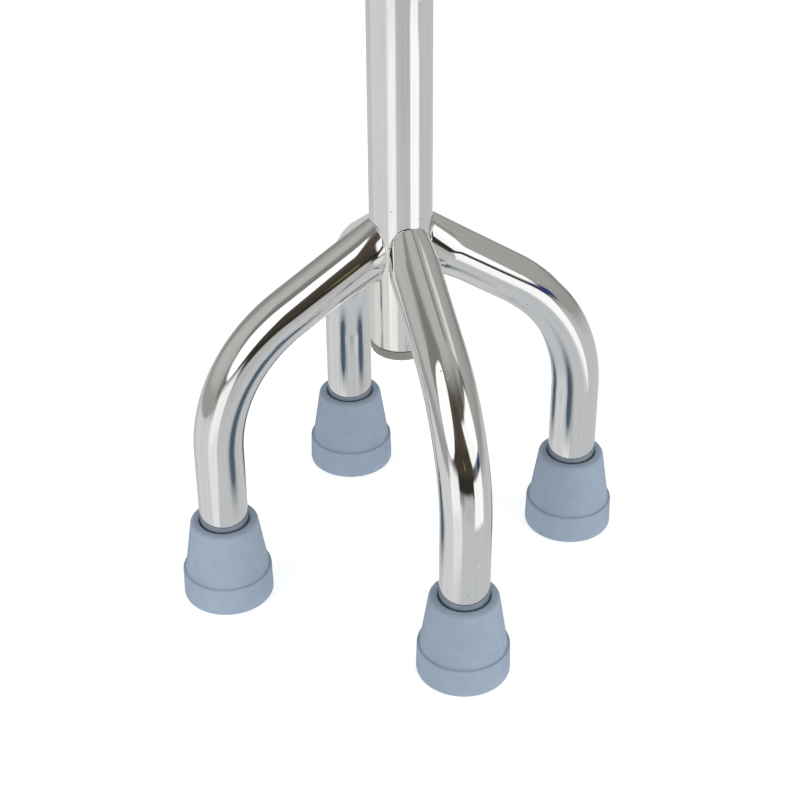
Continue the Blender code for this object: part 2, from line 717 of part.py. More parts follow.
def grip_sections():
    """The grip's sections from the flange back: distance, half width, and height above and below the axis."""
    width = GRIP_BORE + GRIP_SIDE_WALL
    top = GRIP_BORE + GRIP_TOP_WALL
    low = GRIP_BORE + GRIP_LOW_WALL
    flange = width + GRIP_FLANGE_STAND
    blunt = flange - GRIP_FLANGE_EDGE
    sections = [
        (0.0, blunt, blunt, blunt),
        (GRIP_FLANGE_EDGE, flange, flange, flange),
        (GRIP_FLANGE_THICKNESS - GRIP_FLANGE_EDGE, flange, flange, flange),
    ]
    body = GRIP_LENGTH - GRIP_END_ROUNDING - GRIP_FLANGE_THICKNESS
    rings = WAVE_RINGS * GRIP_WAVES
    for ring in range(rings + 1):
        wave = GRIP_WAVE_DEPTH * (1 - math.cos(2 * math.pi * ring / WAVE_RINGS)) / 2
        sections.append((GRIP_FLANGE_THICKNESS + body * ring / rings, width, top, low - wave))
    for ring in range(1, GRIP_END_RINGS + 1):
        angle = math.pi / 2 * ring / GRIP_END_RINGS
        share = GRIP_END_SHARE + (1 - GRIP_END_SHARE) * math.cos(angle)
        distance = GRIP_LENGTH - GRIP_END_ROUNDING * (1 - math.sin(angle))
        sections.append((distance, width * share, top * share, low * share))
    return sections


def grip_rings():
    """Rings of points round the grip: each section is a half oval above the axis and another below it."""
    rings = []
    for distance, width, top, low in grip_sections():
        ring = []
        for index in range(GRIP_SIDES):
            angle = 2 * math.pi * index / GRIP_SIDES
            height = top if math.sin(angle) > 0 else low
            z = GRIP_AXIS + height * math.sin(angle)
            ring.append(Vector((width * math.cos(angle), GRIP_FRONT - distance, z)))
        rings.append(ring)
    return rings


def make_grip(group, cutters):
    """The moulded sleeve, lofted through its sections, with a blind bore for the shaft's end."""
    grip = loft("handle_grip", grip_rings(), "grip_vinyl", group)
    past_front = GRIP_FRONT + GRIP_FLANGE_THICKNESS
    bore = round_bar("grip_bore_cutter", GRIP_BORE, GRIP_BORE_END, past_front, cutters, SHAFT_SIDES)
    bore.rotation_euler.x = -math.pi / 2
    bore.location.z = GRIP_AXIS
    boolean(grip, "DIFFERENCE", bore)
    return grip


def parent_to(pieces, name, place, group):
    """Hangs moving pieces on an empty that stands on their joint's axis."""
    pivot = bpy.data.objects.new(name, None)
    pivot.location = place
    group.objects.link(pivot)
    bpy.context.view_layer.update()
    for piece in pieces:
        piece.parent = pivot
        piece.matrix_parent_inverse = pivot.matrix_world.inverted()
    return pivot


def main():
    clear_scene()
    parts = collection("quad_cane")
    cutters = collection("cutters")
    make_column(parts, cutters)
    make_base(parts, cutters)
    make_plug(parts)
    make_cap(parts)
    shaft = make_shaft(parts, cutters)
    bush = make_foot_bush(parts)
    spring = make_spring(parts)
    grip = make_grip(parts, cutters)
    button = make_button(parts)
    lowest_setting = (0, 0, LOWEST_HOLE)
    handle = parent_to([shaft, bush, spring, grip], "height_slide", lowest_setting, parts)
    press = parent_to([button], "button_press", lowest_setting, parts)
    press.parent = handle
    press.matrix_parent_inverse = handle.matrix_world.inverted()


main()
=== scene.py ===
"""Quad cane, dressed for pictures: chrome-plated tubes, rubber ferrules and a moulded grip on a pale floor.

Units are metres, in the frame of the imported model: the column stands on the Z axis, the floor is z = 0 and
+Y is the walking direction. Each size below is the cane's own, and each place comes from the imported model.
"""

import math

import bmesh
import bpy
from bpy.props import FloatProperty, FloatVectorProperty, IntProperty, PointerProperty
from bpy.types import Operator, Panel, PropertyGroup
from mathutils import Matrix, Vector


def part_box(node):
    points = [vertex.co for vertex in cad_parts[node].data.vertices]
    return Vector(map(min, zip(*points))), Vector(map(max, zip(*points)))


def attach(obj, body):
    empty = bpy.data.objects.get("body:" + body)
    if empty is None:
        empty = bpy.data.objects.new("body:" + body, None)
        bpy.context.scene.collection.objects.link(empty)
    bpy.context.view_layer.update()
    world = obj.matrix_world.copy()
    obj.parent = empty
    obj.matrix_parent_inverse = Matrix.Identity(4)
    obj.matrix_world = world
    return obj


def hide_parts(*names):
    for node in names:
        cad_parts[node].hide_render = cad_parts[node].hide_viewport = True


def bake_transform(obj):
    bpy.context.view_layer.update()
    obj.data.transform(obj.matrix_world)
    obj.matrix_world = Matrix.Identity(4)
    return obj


bl_info = {
    "name": "Quad Cane",
    "version": (1, 0, 0),
    "blender": (4, 5, 0),
    "location": "View3D > Sidebar > Quad Cane",
    "description": "Builds the finished pieces of a quad cane round its packed model, and a studio",
    "category": "Add Mesh",
}

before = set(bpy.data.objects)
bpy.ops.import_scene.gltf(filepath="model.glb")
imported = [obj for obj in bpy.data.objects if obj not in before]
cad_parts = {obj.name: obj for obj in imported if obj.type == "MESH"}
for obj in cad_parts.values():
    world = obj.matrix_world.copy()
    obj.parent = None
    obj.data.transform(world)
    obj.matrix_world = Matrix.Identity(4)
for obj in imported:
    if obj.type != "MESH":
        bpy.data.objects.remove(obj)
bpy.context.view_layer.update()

EAST = Vector((1.0, 0.0, 0.0))
NORTH = Vector((0.0, 1.0, 0.0))
UP = Vector((0.0, 0.0, 1.0))
FULL = 2 * math.pi
QUARTER = math.pi / 2

# Direction of the height holes round the tubes
REAR = -QUARTER

# Side and end of the base on which each leg stands
CORNERS = {"front_left": (-1, 1), "front_right": (1, 1), "rear_left": (-1, -1), "rear_right": (1, -1)}

# Running gap between pieces that slide or plug into each other
GAP = 0.0003


def node_low(name):
    """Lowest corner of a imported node's box."""
    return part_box(name)[0]


def node_high(name):
    """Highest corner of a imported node's box."""
    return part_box(name)[1]


def node_size(name):
    """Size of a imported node's box."""
    return node_high(name) - node_low(name)


def kind_of(maker, **details):
    """A kind of property, which its name, description and default complete."""
    return lambda name, description, default: maker(
        name=name, description=description, default=default, **details
    )


length = kind_of(FloatProperty, precision=5, subtype="DISTANCE", unit="LENGTH")
angle = kind_of(FloatProperty, subtype="ANGLE", unit="ROTATION")
colour = kind_of(FloatVectorProperty, size=3, min=0.0, max=1.0, subtype="COLOR")
factor = kind_of(FloatProperty, min=0.0)
power = kind_of(FloatProperty, min=0.0, unit="POWER")
focal = kind_of(FloatProperty, min=1.0, unit="CAMERA")
count = kind_of(IntProperty, min=1)


class ColumnSizes(PropertyGroup):
    """Sizes of the outer tube, its height holes and its two end fittings."""

    diameter: length("Diameter", "Outside diameter", node_size("column").x)
    wall: length("Wall", "Wall thickness", 0.0012)
    hole_diameter: length("Hole diameter", "Diameter of each height hole", 0.0084)
    hole_pitch: length("Hole pitch", "Distance between height holes", 0.0254)
    hole_count: count("Holes", "Number of height holes", 7)
    lowest_hole: length("Lowest hole", "Height of the lowest hole above the floor", 0.2750)
    thin_plate_top: length("Thin plate", "Height up to which the legs crowd the plating", 0.1660)
    edge: length("Edge", "Rounding of the tube's ends and hole edges", 0.00025)
    plug_edge: length("Plug edge", "Rounding of the end plug's lower edge", 0.0012)
    plug_rim: length("Plug rim", "Height of the end plug's rim", 0.0041)
    cap_edge: length("Cap edge", "Rounding of the top cap's crown", 0.0012)


class LegSizes(PropertyGroup):
    """Sizes of the four bent legs. Distances along a leg count from the column's axis."""

    diameter: length("Diameter", "Outside diameter", 0.0205)
    wall: length("Wall", "Wall thickness", 0.0015)
    slope: angle("Slope", "Slope of the upper stretch below the horizontal", math.radians(33.8))
    bend_radius: length("Bend radius", "Radius of the bend, on its centreline", 0.0715)
    upright: length("Upright", "Height of the bend's lower end above the floor", 0.0716)
    foot_pitch: length("Foot pitch", "Distance between neighbouring feet, centre to centre", 0.1112)
    press: length("Press", "How far each side of the upper end is pressed in", 0.0036)
    press_start: length("Press start", "Distance at which the sides start to open", 0.004)
    press_end: length("Press end", "Distance at which the sides are round", 0.022)
    bluntness: factor("Bluntness", "Exponent of the pressed end's oval, where 2 is an ellipse", 2.3)
    sag: length("Sag", "How far the upper end's underside stands below a round tube", 0.0022)
    sag_start: length("Sag start", "Distance at which the underside starts to rise", 0.0125)
    sag_end: length("Sag end", "Distance at which the underside is round", 0.033)
    weld: length("Weld", "Radius of the weld's fillet against the column", 0.0008)


class FerruleSizes(PropertyGroup):
    """Sizes of the four rubber ferrules."""

    height: length("Height", "Height of the ferrule", node_size("ferrule_front_left").z)
    floor: length("Floor", "Thickness of rubber below the washer", 0.0100)
    bore: length("Bore", "Radius of the bore", 0.01035)
    rim_wall: length("Rim wall", "Width of the flat rim round the bore", 0.00375)
    rim_edge: length("Rim edge", "Rounding of the rim's outer edge", 0.0016)
    taper: length("Taper", "Growth of the radius from the rim to the collar", 0.0036)
    collar: length("Collar", "Height of the collar", 0.0131)
    ledge: length("Ledge", "Width of the ledge on top of the collar", 0.0011)
    flare: length("Flare", "Growth of the collar's radius towards the floor", 0.0003)
    tread_land: length("Tread land", "Width of the tread's rings", 0.0030)
    tread_groove: length("Tread groove", "Width of the tread's grooves", 0.0022)
    tread_depth: length("Tread depth", "Depth of the tread's grooves", 0.0018)


class HandleSizes(PropertyGroup):
    """Sizes of the inner tube, its swan neck and the snap button."""

    radius: length("Radius", "Outside radius", 0.0110)
    wall: length("Wall", "Wall thickness", 0.0012)
    neck_lean: angle("Neck lean", "Lean of the swan neck forward of upright", math.radians(50.0))
    lower_radius: length("Lower radius", "Radius of the swan neck's lower bend", 0.050)
    upper_radius: length("Upper radius", "Radius of the swan neck's upper bend", 0.035)
    button_radius: length("Button radius", "Radius of the snap button", 0.0039)
    button_stand: length("Button stand", "Height of the snap button's tip above the column", 0.0026)
    head_ledge: length("Head ledge", "Width of the ledge round the snap button's flat head", 0.0016)
    spring_strip: length("Spring strip", "Thickness of the spring's strip", 0.0004)
    spring_foot: length("Spring foot", "Upright length at the end of the spring's rear leg", 0.0065)


class GripSizes(PropertyGroup):
    """Sizes of the moulded grip."""

    side_wall: length("Side wall", "Thickness at the sides", 0.0037)
    top_wall: length("Top wall", "Thickness on top", 0.00445)
    low_wall: length("Low wall", "Thickness below", 0.00645)
    flange_stand: length("Flange stand", "Height of the flange above the grip's sides", 0.0045)
    flange_thickness: length("Flange thickness", "Thickness of the flange", 0.0045)
    wave_depth: length("Wave depth", "Depth of the finger waves", 0.0022)
    waves: count("Waves", "Number of finger waves", 4)
    end_rounding: length("End rounding", "Length of the rear end's rounding", 0.011)
    end_wall: length("End wall", "Thickness behind the shaft's end", 0.005)


class Finishes(PropertyGroup):
    """Colours and gloss of the materials."""

    chrome: colour("Chrome", "Reflected colour of the chrome plate", (0.83, 0.83, 0.82))
    chrome_lines: colour("Chrome lines", "Colour of the drawn lines in the plate", (0.78, 0.78, 0.77))
    nickel: colour("Nickel", "Warmer colour where the chrome is thin", (0.93, 0.895, 0.835))
    chrome_roughness: factor("Chrome roughness", "Least roughness of the chrome plate", 0.018)
    rubber: colour("Rubber", "Colour of the ferrules", (0.30, 0.378, 0.482))
    # Painted shade: this darker rubber colour round the bore stands in for the shade in the gap round the
    # tube
    painted_bore_shade: colour("Painted bore shade", "Darker colour at the tube's edge", (0.115, 0.155, 0.215))
    rubber_bloom: colour("Rubber bloom", "Paler colour of the bloom", (0.35, 0.428, 0.533))
    vinyl: colour("Vinyl", "Colour of the grip", (0.27, 0.335, 0.43))
    # Painted shade: this darker vinyl colour lies in the hollows between the grain's pebbles
    vinyl_pebble_shade: colour("Vinyl pebble shade", "Darker colour between the grain's pebbles", (0.185, 0.235, 0.310))
    vinyl_worn: colour("Worn vinyl", "Colour of the grip where hands polish it", (0.31, 0.375, 0.46))
    plastic: colour("Plastic", "Colour of the plug and cap", (0.25, 0.25, 0.23))
    spring: colour("Spring", "Colour of the spring steel", (0.34, 0.36, 0.40))
    zinc: colour("Zinc", "Colour of the zinc-plated washers", (0.62, 0.62, 0.60))


class Studio(PropertyGroup):
    """The floor, the light and the camera."""

    floor: colour("Floor", "Colour of the floor", (0.90, 0.90, 0.90))
    floor_glow: factor("Floor glow", "Light that the floor gives off by itself", 0.50)
    floor_reach: length("Floor reach", "Distance from the cane to the floor's edge", 6.0)
    backdrop: colour("Backdrop", "Colour seen above the floor's edge", (1.0, 1.0, 1.0))
    panel_reach: length("Panel reach", "Level distance of the panels from their middle", 0.36)
    panel_height: length("Panel height", "Height of the panels' top above their middle", 1.08)
    panel_middle: length("Panel middle", "Height of the panels' middle", 0.05)
    panel_front: length("Panel front", "Middle of the panels, in front of the column", 0.15)
    panel_right: length("Panel right", "Middle of the panels, to the right of the column", 0.05)
    shade: colour("Foot shade", "Colour of the shade on and round each foot", (0.055, 0.085, 0.120))
    shade_depth: factor("Foot shade depth", "How dark that shade is at the foot", 0.80)
    shade_reach: length("Foot shade reach", "How far from a foot's middle it fades out", 0.055)
    lamp: power("Lamp", "Power of the lamp near the left foot", 0.10)
    lamp_distance: length("Lamp distance", "Distance from the left foot to that lamp", 0.22)
    turn: angle("Camera turn", "Direction round the cane, from straight behind", math.radians(27.11))
    rise: angle("Camera rise", "Camera's height angle above the level", math.radians(33.26))
    roll: angle("Camera roll", "Roll of the camera", math.radians(-0.36))
    distance: length("Distance", "Distance from the camera to its aim", 0.7146)
    aim_height: length("Aim height", "Height of the camera's aim", 0.08015)
    aim_side: length("Aim side", "Aim's offset to the right of the column's axis", -0.00074)
    lens: focal("Lens", "Focal length of the camera's lens", 76.995)
    sensor: focal("Sensor", "Width of the camera's sensor", 36.0)


SETTINGS = {
    "cane_column": ColumnSizes,
    "cane_legs": LegSizes,
    "cane_ferrules": FerruleSizes,
    "cane_handle": HandleSizes,
    "cane_grip": GripSizes,
    "cane_finishes": Finishes,
    "cane_studio": Studio,
}


# Mesh building

SHARP = math.radians(40)
ON_AXIS = 1e-7
NO_STREAK = (0.0, 0.0, 0.0)


class Skin:
    """A mesh under way: vertices, each with a normal and a place on the drawn tube, and their faces."""

    def __init__(self):
        self.shape = bmesh.new()
        self.normals = []
        self.streaks = []

    def vert(self, place, normal=UP, streak=NO_STREAK):
        """Adds one vertex."""
        self.normals.append(normal)
        self.streaks.append(streak)
        return self.shape.verts.new(place)

    def ring(self, places):
        """Adds a vertex at each place."""
        return [self.vert(place) for place in places]

    def join(self, first, second):
        """Fills the band between two closed rings, of which one may be a single point."""
        for index in range(max(len(first), len(second))):
            low = [first[index % len(first)], first[(index + 1) % len(first)]]
            high = [second[(index + 1) % len(second)], second[index % len(second)]]
            self.shape.faces.new(dict.fromkeys(low + high))

    def join_all(self, rings, closed=False):
        """Fills the bands between rings in a row."""
        for first, second in zip(rings, rings[1:]):
            self.join(first, second)
        if closed:
            self.join(rings[-1], rings[0])

    def lathe(self, profile, sides, closed=False, centre=(0.0, 0.0)):
        """Adds an (x, z) profile that is turned about an upright axis."""
        rings = []
        for x, z in profile:
            round_axis = circle(sides) if x > ON_AXIS else [(0.0, 0.0)]
            rings.append(self.ring([(centre[0] + x * a, centre[1] + x * b, z) for a, b in round_axis]))
        self.join_all(rings, closed)

    def mesh(self, name, own_normals=False):
        """Turns the skin into a smooth mesh. Own normals are those given with the vertices."""
        bmesh.ops.recalc_face_normals(self.shape, faces=self.shape.faces)
        if self.shape.calc_volume(signed=True) < 0:
            bmesh.ops.reverse_faces(self.shape, faces=self.shape.faces)
        mesh = bpy.data.meshes.new(name)
        self.shape.to_mesh(mesh)
        self.shape.free()
        mesh.shade_smooth()
        if own_normals:
            mesh.normals_split_custom_set_from_vertices(self.normals)
        else:
            mesh.set_sharp_from_angle(angle=SHARP)
        if any(streak != NO_STREAK for streak in self.streaks):
            layer = mesh.attributes.new("tube_place", "FLOAT_VECTOR", "POINT")
            layer.data.foreach_set("vector", [number for streak in self.streaks for number in streak])
        return mesh


def spaced(start, end, steps):
    """Even steps from a start towards an end, which is left out."""
    return [start + (end - start) * step / steps for step in range(steps)]


def circle(sides):
    """Cosine and sine at even steps round a circle."""
    return [(math.cos(turn), math.sin(turn)) for turn in spaced(0.0, FULL, sides)]


def quarter(steps, first=0):
    """Sine and cosine at even steps over a quarter turn."""
    turns = [QUARTER * step / steps for step in range(first, steps + 1)]
    return [(math.sin(turn), math.cos(turn)) for turn in turns]


def turned(name, profile, sides, closed=False):
    """A mesh turned about the Z axis."""
    skin = Skin()
    skin.lathe(profile, sides, closed)
    return skin.mesh(name)


def mark_thin_plate(mesh, share):
    """Marks where the chrome is thin, with a share from 0 to 1 for each vertex's place."""
    layer = mesh.attributes.new("thin_plate", "FLOAT", "POINT")
    layer.data.foreach_set("value", [min(max(share(vertex.co), 0.0), 1.0) for vertex in mesh.vertices])


def stand(name, mesh, material):
    """Links a new piece with one material."""
    mesh.materials.clear()
    mesh.materials.append(material)
    piece = bpy.data.objects.new(name, mesh)
    bpy.context.scene.collection.objects.link(piece)
    return piece


def add_piece(name, mesh, slot, body, *nodes):
    """Links a finished piece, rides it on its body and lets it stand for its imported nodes."""
    piece = stand(name, mesh, material_for(slot))
    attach(piece, body)
    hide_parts(*nodes)
    return piece


def rounded(corners, steps=6):
    """Turns (x, z, radius) corners into profile points, with an arc at each corner that has a radius."""
    points = []
    for index, (x, z, radius) in enumerate(corners):
        here = Vector((x, z))
        if not radius:
            points.append(here)
            continue
        following = corners[(index + 1) % len(corners)]
        before = (Vector(corners[index - 1][:2]) - here).normalized()
        after = (Vector(following[:2]) - here).normalized()
        half = before.angle(after) / 2
        reach = radius / math.tan(half)
        centre = here + (before + after).normalized() * (radius / math.sin(half))
        start = here + before * reach - centre
        end = here + after * reach - centre
        turn = start.angle_signed(end)
        for step in range(steps + 1):
            points.append(centre + Matrix.Rotation(-turn * step / steps, 2) @ start)
    return points


# Drilled tubes: the column and the handle shaft. Each hole has a square patch of the wall's grid to itself

PATCH = 16
PATCH_EDGE = [(step, PATCH) for step in range(PATCH)]
PATCH_EDGE += [(PATCH, PATCH - step) for step in range(PATCH)]
PATCH_EDGE += [(PATCH - step, 0) for step in range(PATCH)]
PATCH_EDGE += [(0, step) for step in range(PATCH)]
PATCH_PER_HOLE = 1.5
REST = 112
HOLE_SHARES = (0.72, 0.45, 0.2, 0.0)
HOLE_EDGE_STEPS = 4
END_STEPS = 3
SAME_PLACE = 1e-6


def patch_steps(half):
    """Offsets of a patch's grid lines from its middle."""
    return spaced(-half, half, PATCH) + [half]


def on_tube(radius, turn, along):
    """A vertex's place on the drawn tube, which the lines in its chrome follow."""
    return (radius * math.cos(turn), radius * math.sin(turn), along)


def wall_angles(radius, half):
    """Directions round a tube at which its wall is drawn, dense across the patches at the rear."""
    edge = math.asin(half / radius)
    angles = [REAR + math.asin(across / radius) for across in patch_steps(half)]
    return angles + [REAR + edge + (FULL - 2 * edge) * step / REST for step in range(1, REST)]


def wall_grid(skin, stations, angles, radius, side, patches):
    """One wall of a tube as a grid of vertices, left open inside each hole's patch."""
    grid = []
    for row, (centre, north, along) in enumerate(stations):
        inside = any(first < row < first + PATCH for first, _ in patches)
        line = []
        for column, turn in enumerate(angles):
            if inside and 0 < column < PATCH:
                line.append(None)
                continue
            out = EAST * math.cos(turn) + north * math.sin(turn)
            line.append(skin.vert(centre + out * radius, out * side, on_tube(radius, turn, along)))
        grid.append(line)
    for row, (low, high) in enumerate(zip(grid, grid[1:])):
        is_open = any(first <= row < first + PATCH for first, _ in patches)
        for column in range(PATCH if is_open else 0, len(angles)):
            following = (column + 1) % len(angles)
            skin.shape.faces.new((low[column], low[following], high[following], high[column]))
    return grid


def hole_rings(skin, grid, first, height, radius, side, hole, half, edge):
    """Rings from a patch's edge in to the hole, over its rounded edge and just into its wall."""
    steps = patch_steps(half)
    rings = [[grid[first + row][column] for row, column in PATCH_EDGE]]
    stages = [(share, 0.0, 1.0) for share in HOLE_SHARES]
    stages += [(0.0, sine, cosine) for sine, cosine in quarter(HOLE_EDGE_STEPS, 1)]
    for share, sine, cosine in stages:
        ring = []
        for row, column in PATCH_EDGE:
            offset = Vector((steps[column], steps[row]))
            spoke = offset.normalized()
            place = spoke * (hole + edge * (1 - sine)) * (1 - share) + offset * share
            out = math.sqrt(radius**2 - place.x**2)
            surface = (EAST * place.x - NORTH * out).normalized() * side
            normal = surface * cosine - (EAST * spoke.x + UP * spoke.y) * sine
            depth = side * edge * (1 - cosine)
            spot = EAST * place.x - NORTH * (out - depth) + UP * (height + place.y)
            turn = REAR + math.asin(place.x / radius)
            ring.append(skin.vert(spot, normal.normalized(), on_tube(radius, turn, spot.z)))
        rings.append(ring)
    skin.join_all(rings)
    return rings[-1]


def end_rings(skin, station, angles, radius, wall, edge, direction):
    """Rings over a tube's end, from its outer wall to its inner one. Direction is +1 at the far end."""
    centre, north, along = station
    tangent = EAST.cross(north) * direction
    rounding = quarter(END_STEPS)
    stages = [(radius - edge, 1, *roll) for roll in rounding[1:]]
    stages += [(radius - wall + edge, -1, *roll) for roll in rounding[-2::-1]]
    rings = []
    for base, side, sine, cosine in stages:
        ring = []
        for turn in angles:
            out = EAST * math.cos(turn) + north * math.sin(turn)
            place = centre + out * (base + side * edge * cosine) + tangent * edge * sine
            ring.append(skin.vert(place, out * side * cosine + tangent * sine, on_tube(radius, turn, along)))
        rings.append(ring)
    return rings


def drilled_tube(name, stations, radius, wall, holes, hole, edge):
    """A tube along stations (centre, north, along) with round holes through the rear of its wall."""
    half = hole * PATCH_PER_HOLE
    skin = Skin()
    patches = []
    for row, (centre, _, _) in enumerate(stations):
        patches += [(row, height) for height in holes if (centre - UP * (height - half)).length < SAME_PLACE]
    angles = wall_angles(radius, half)
    outer = wall_grid(skin, stations, angles, radius, 1, patches)
    inner = wall_grid(skin, stations, wall_angles(radius - wall, half), radius - wall, -1, patches)
    for first, height in patches:
        front = hole_rings(skin, outer, first, height, radius, 1, hole, half, edge)
        back = hole_rings(skin, inner, first, height, radius - wall, -1, hole, half, edge)
        skin.join(front, back)
    for row, direction in ((0, -1), (-1, 1)):
        ends = end_rings(skin, stations[row], angles, radius, wall, edge, direction)
        skin.join_all([outer[row], *ends, inner[row]])
    return skin.mesh(name, own_normals=True)


def straight_stations(low, high, holes, hole, others=()):
    """Stations up the Z axis, with the rows that each hole's patch needs."""
    heights = {low, high, *others}
    for height in holes:
        heights.update(height + step for step in patch_steps(hole * PATCH_PER_HOLE))
    return [(UP * z, NORTH, z) for z in sorted(heights)]


# Legs

LEG_SIDES = 160
FILLET_STEPS = 6
OPENING_ROWS = 40
SLOPE_ROWS = 6
BEND_ROWS = 56
UPRIGHT_ROWS = 8
JOINT_ROUNDS = 12
PAST_OPENING = 0.006
LEG_EDGE = 0.0003
LEG_EDGE_BREAK = 0.3 * LEG_EDGE
FADE_ROUNDING = 0.14
CROWDED_END = 0.046
CROWDED_FADE = 0.022

# The weld bead's waves: number round the leg, start, and height as a share of the fillet
BEAD_WAVES = ((3, 0.8, 0.10), (11, 0.0, 0.07))


def signed_power(value, exponent):
    """A power of a number's size, with the number's sign."""
    return math.copysign(abs(value) ** exponent, value)


def fading(distance, start, end):
    """A share that falls evenly from 1 to 0 along the leg and rounds off at its lower end."""
    left = (end - distance) / (end - start)
    if left < FADE_ROUNDING:
        return max(left + FADE_ROUNDING, 0.0) ** 2 / (4 * FADE_ROUNDING)
    return min(left, 1.0)


class LegShape:
    """The leg's centreline and section, worked out from its sizes, for a leg along +X."""

    def __init__(self, sizes, column_radius):
        self.sizes = sizes
        self.radius = sizes.diameter / 2
        self.column_radius = column_radius
        self.foot = sizes.foot_pitch / math.sqrt(2)
        reach = self.foot - sizes.bend_radius * (1 - math.sin(sizes.slope))
        self.bend_start = reach / math.cos(sizes.slope)
        self.bend_end = self.bend_start + sizes.bend_radius * (QUARTER - sizes.slope)
        bend_top = sizes.upright + sizes.bend_radius * math.cos(sizes.slope)
        self.joint_height = bend_top + reach * math.tan(sizes.slope)

    def place(self, distance):
        """Centre and downward slope at a distance along the leg from the column's axis."""
        sizes = self.sizes
        if distance <= self.bend_start:
            z = self.joint_height - distance * math.sin(sizes.slope)
            return Vector((distance * math.cos(sizes.slope), 0, z)), sizes.slope
        slope = min(sizes.slope + (distance - self.bend_start) / sizes.bend_radius, QUARTER)
        x = self.foot - sizes.bend_radius * (1 - math.sin(slope))
        z = sizes.upright + sizes.bend_radius * math.cos(slope) - max(distance - self.bend_end, 0.0)
        return Vector((x, 0, z)), slope

    def section(self, share_round, distance, inset=0.0):
        """Across and upward place and normal on the section: an oval that opens to a circle."""
        sizes = self.sizes
        pressed = fading(distance, sizes.press_start, sizes.press_end)
        power = 2 / (2 + (sizes.bluntness - 2) * pressed)
        cosine, sine = math.cos(FULL * share_round), math.sin(FULL * share_round)
        half_width = self.radius - sizes.press * (pressed * pressed if cosine > 0 else pressed)
        half_height = self.radius
        if sine < 0:
            half_height += sizes.sag * fading(distance, sizes.sag_start, sizes.sag_end)
        place = Vector((signed_power(cosine, power) * half_width, signed_power(sine, power) * half_height))
        across = signed_power(cosine, 2 - power) / half_width
        normal = Vector((across, signed_power(sine, 2 - power) / half_height)).normalized()
        return place - normal * inset, normal

    def crowded(self, place):
        """How far the other legs shade a place from the plating: only the underside near the column."""
        middle = self.joint_height - place.x * math.tan(self.sizes.slope)
        below = (middle - place.z) / self.radius
        return min(max(below, 0.0), 1.0) * (CROWDED_END - place.x) / CROWDED_FADE

    def spot(self, share_round, distance, inset=0.0):
        """Point on the leg's skin, and its normal."""
        centre, slope = self.place(distance)
        place, normal = self.section(share_round, distance, inset)
        raised = Vector((math.sin(slope), 0, math.cos(slope)))
        return centre + NORTH * place.x + raised * place.y, NORTH * normal.x + raised * normal.y

    def joint(self, share_round):
        """Distance along the leg at which a line of its skin meets the column."""
        distance = self.column_radius
        for _ in range(JOINT_ROUNDS):
            place, _ = self.section(share_round, distance)
            out = math.sqrt(self.column_radius**2 - place.x**2)
            distance = (out - place.y * math.sin(self.sizes.slope)) / math.cos(self.sizes.slope)
        return distance

    def fillet(self, share_round):
        """The weld's arc from the column to the leg, and the distance at which it ends on the leg."""
        meeting, leg_normal = self.spot(share_round, self.joint(share_round))
        column_normal = Vector((meeting.x, meeting.y, 0)).normalized()
        radius = self.sizes.weld
        for waves, start, high in BEAD_WAVES:
            radius += self.sizes.weld * high * math.sin(FULL * waves * share_round + start)
        reach = radius / (1 + column_normal.dot(leg_normal))
        centre = meeting + (column_normal + leg_normal) * reach
        shares = spaced(0.0, 1.0, FILLET_STEPS)
        arc = [centre - column_normal.slerp(leg_normal, share) * radius for share in shares]
        touch = centre - leg_normal * radius - UP * self.joint_height
        along = Vector((math.cos(self.sizes.slope), 0, -math.sin(self.sizes.slope)))
        return arc, touch.dot(along)


def leg_mesh(shape, bottom):
    """One leg along +X, from the weld's fillet on the column down to its open end in the ferrule."""
    skin = Skin()
    wall = shape.sizes.wall
    shares = spaced(0.0, 1.0, LEG_SIDES)
    arcs, starts = zip(*[shape.fillet(share) for share in shares])
    opened = shape.sizes.sag_end + PAST_OPENING
    full = shape.bend_end + shape.sizes.upright - bottom
    rounded_off = full - LEG_EDGE
    distances = spaced(opened, shape.bend_start, SLOPE_ROWS)
    distances += spaced(shape.bend_start, shape.bend_end, BEND_ROWS)
    distances += spaced(shape.bend_end, rounded_off, UPRIGHT_ROWS) + [rounded_off]

    # Levels of the skin: how far it is set in, and its distance along the leg
    lower_end = [(LEG_EDGE_BREAK, full - LEG_EDGE_BREAK), (LEG_EDGE, full), (wall - LEG_EDGE, full)]
    levels = [(0.0, distance) for distance in distances] + lower_end + [(wall, rounded_off)]
    levels += [(wall, distance) for distance in reversed(distances)]
    rows = zip(*[spaced(start, opened, OPENING_ROWS) for start in starts])
    levels = [(0.0, row) for row in rows] + [(inset, [distance] * LEG_SIDES) for inset, distance in levels]
    levels.append((wall, [start + wall for start in starts]))

    turns = [FULL * share for share in shares]
    rings = []
    for places in zip(*arcs):
        marks = [on_tube(shape.radius, turn, 0.0) for turn in turns]
        rings.append([skin.vert(place, UP, mark) for place, mark in zip(places, marks)])
    for inset, row in levels:
        ring = []
        for share, turn, distance in zip(shares, turns, row):
            place, _ = shape.spot(share, distance, inset)
            ring.append(skin.vert(place, UP, on_tube(shape.radius, turn, distance)))
        rings.append(ring)
    skin.join_all(rings, closed=True)
    return skin.mesh("leg")


# Materials

BLACK = (0.0, 0.0, 0.0)
WHITE = (1.0, 1.0, 1.0)


def feed(socket, value):
    """Links a socket to another one, or sets it to a number, a place or a colour."""
    if isinstance(value, bpy.types.NodeSocket):
        socket.id_data.links.new(value, socket)
    elif socket.type == "RGBA":
        socket.default_value = (*value, 1.0)
    else:
        socket.default_value = value


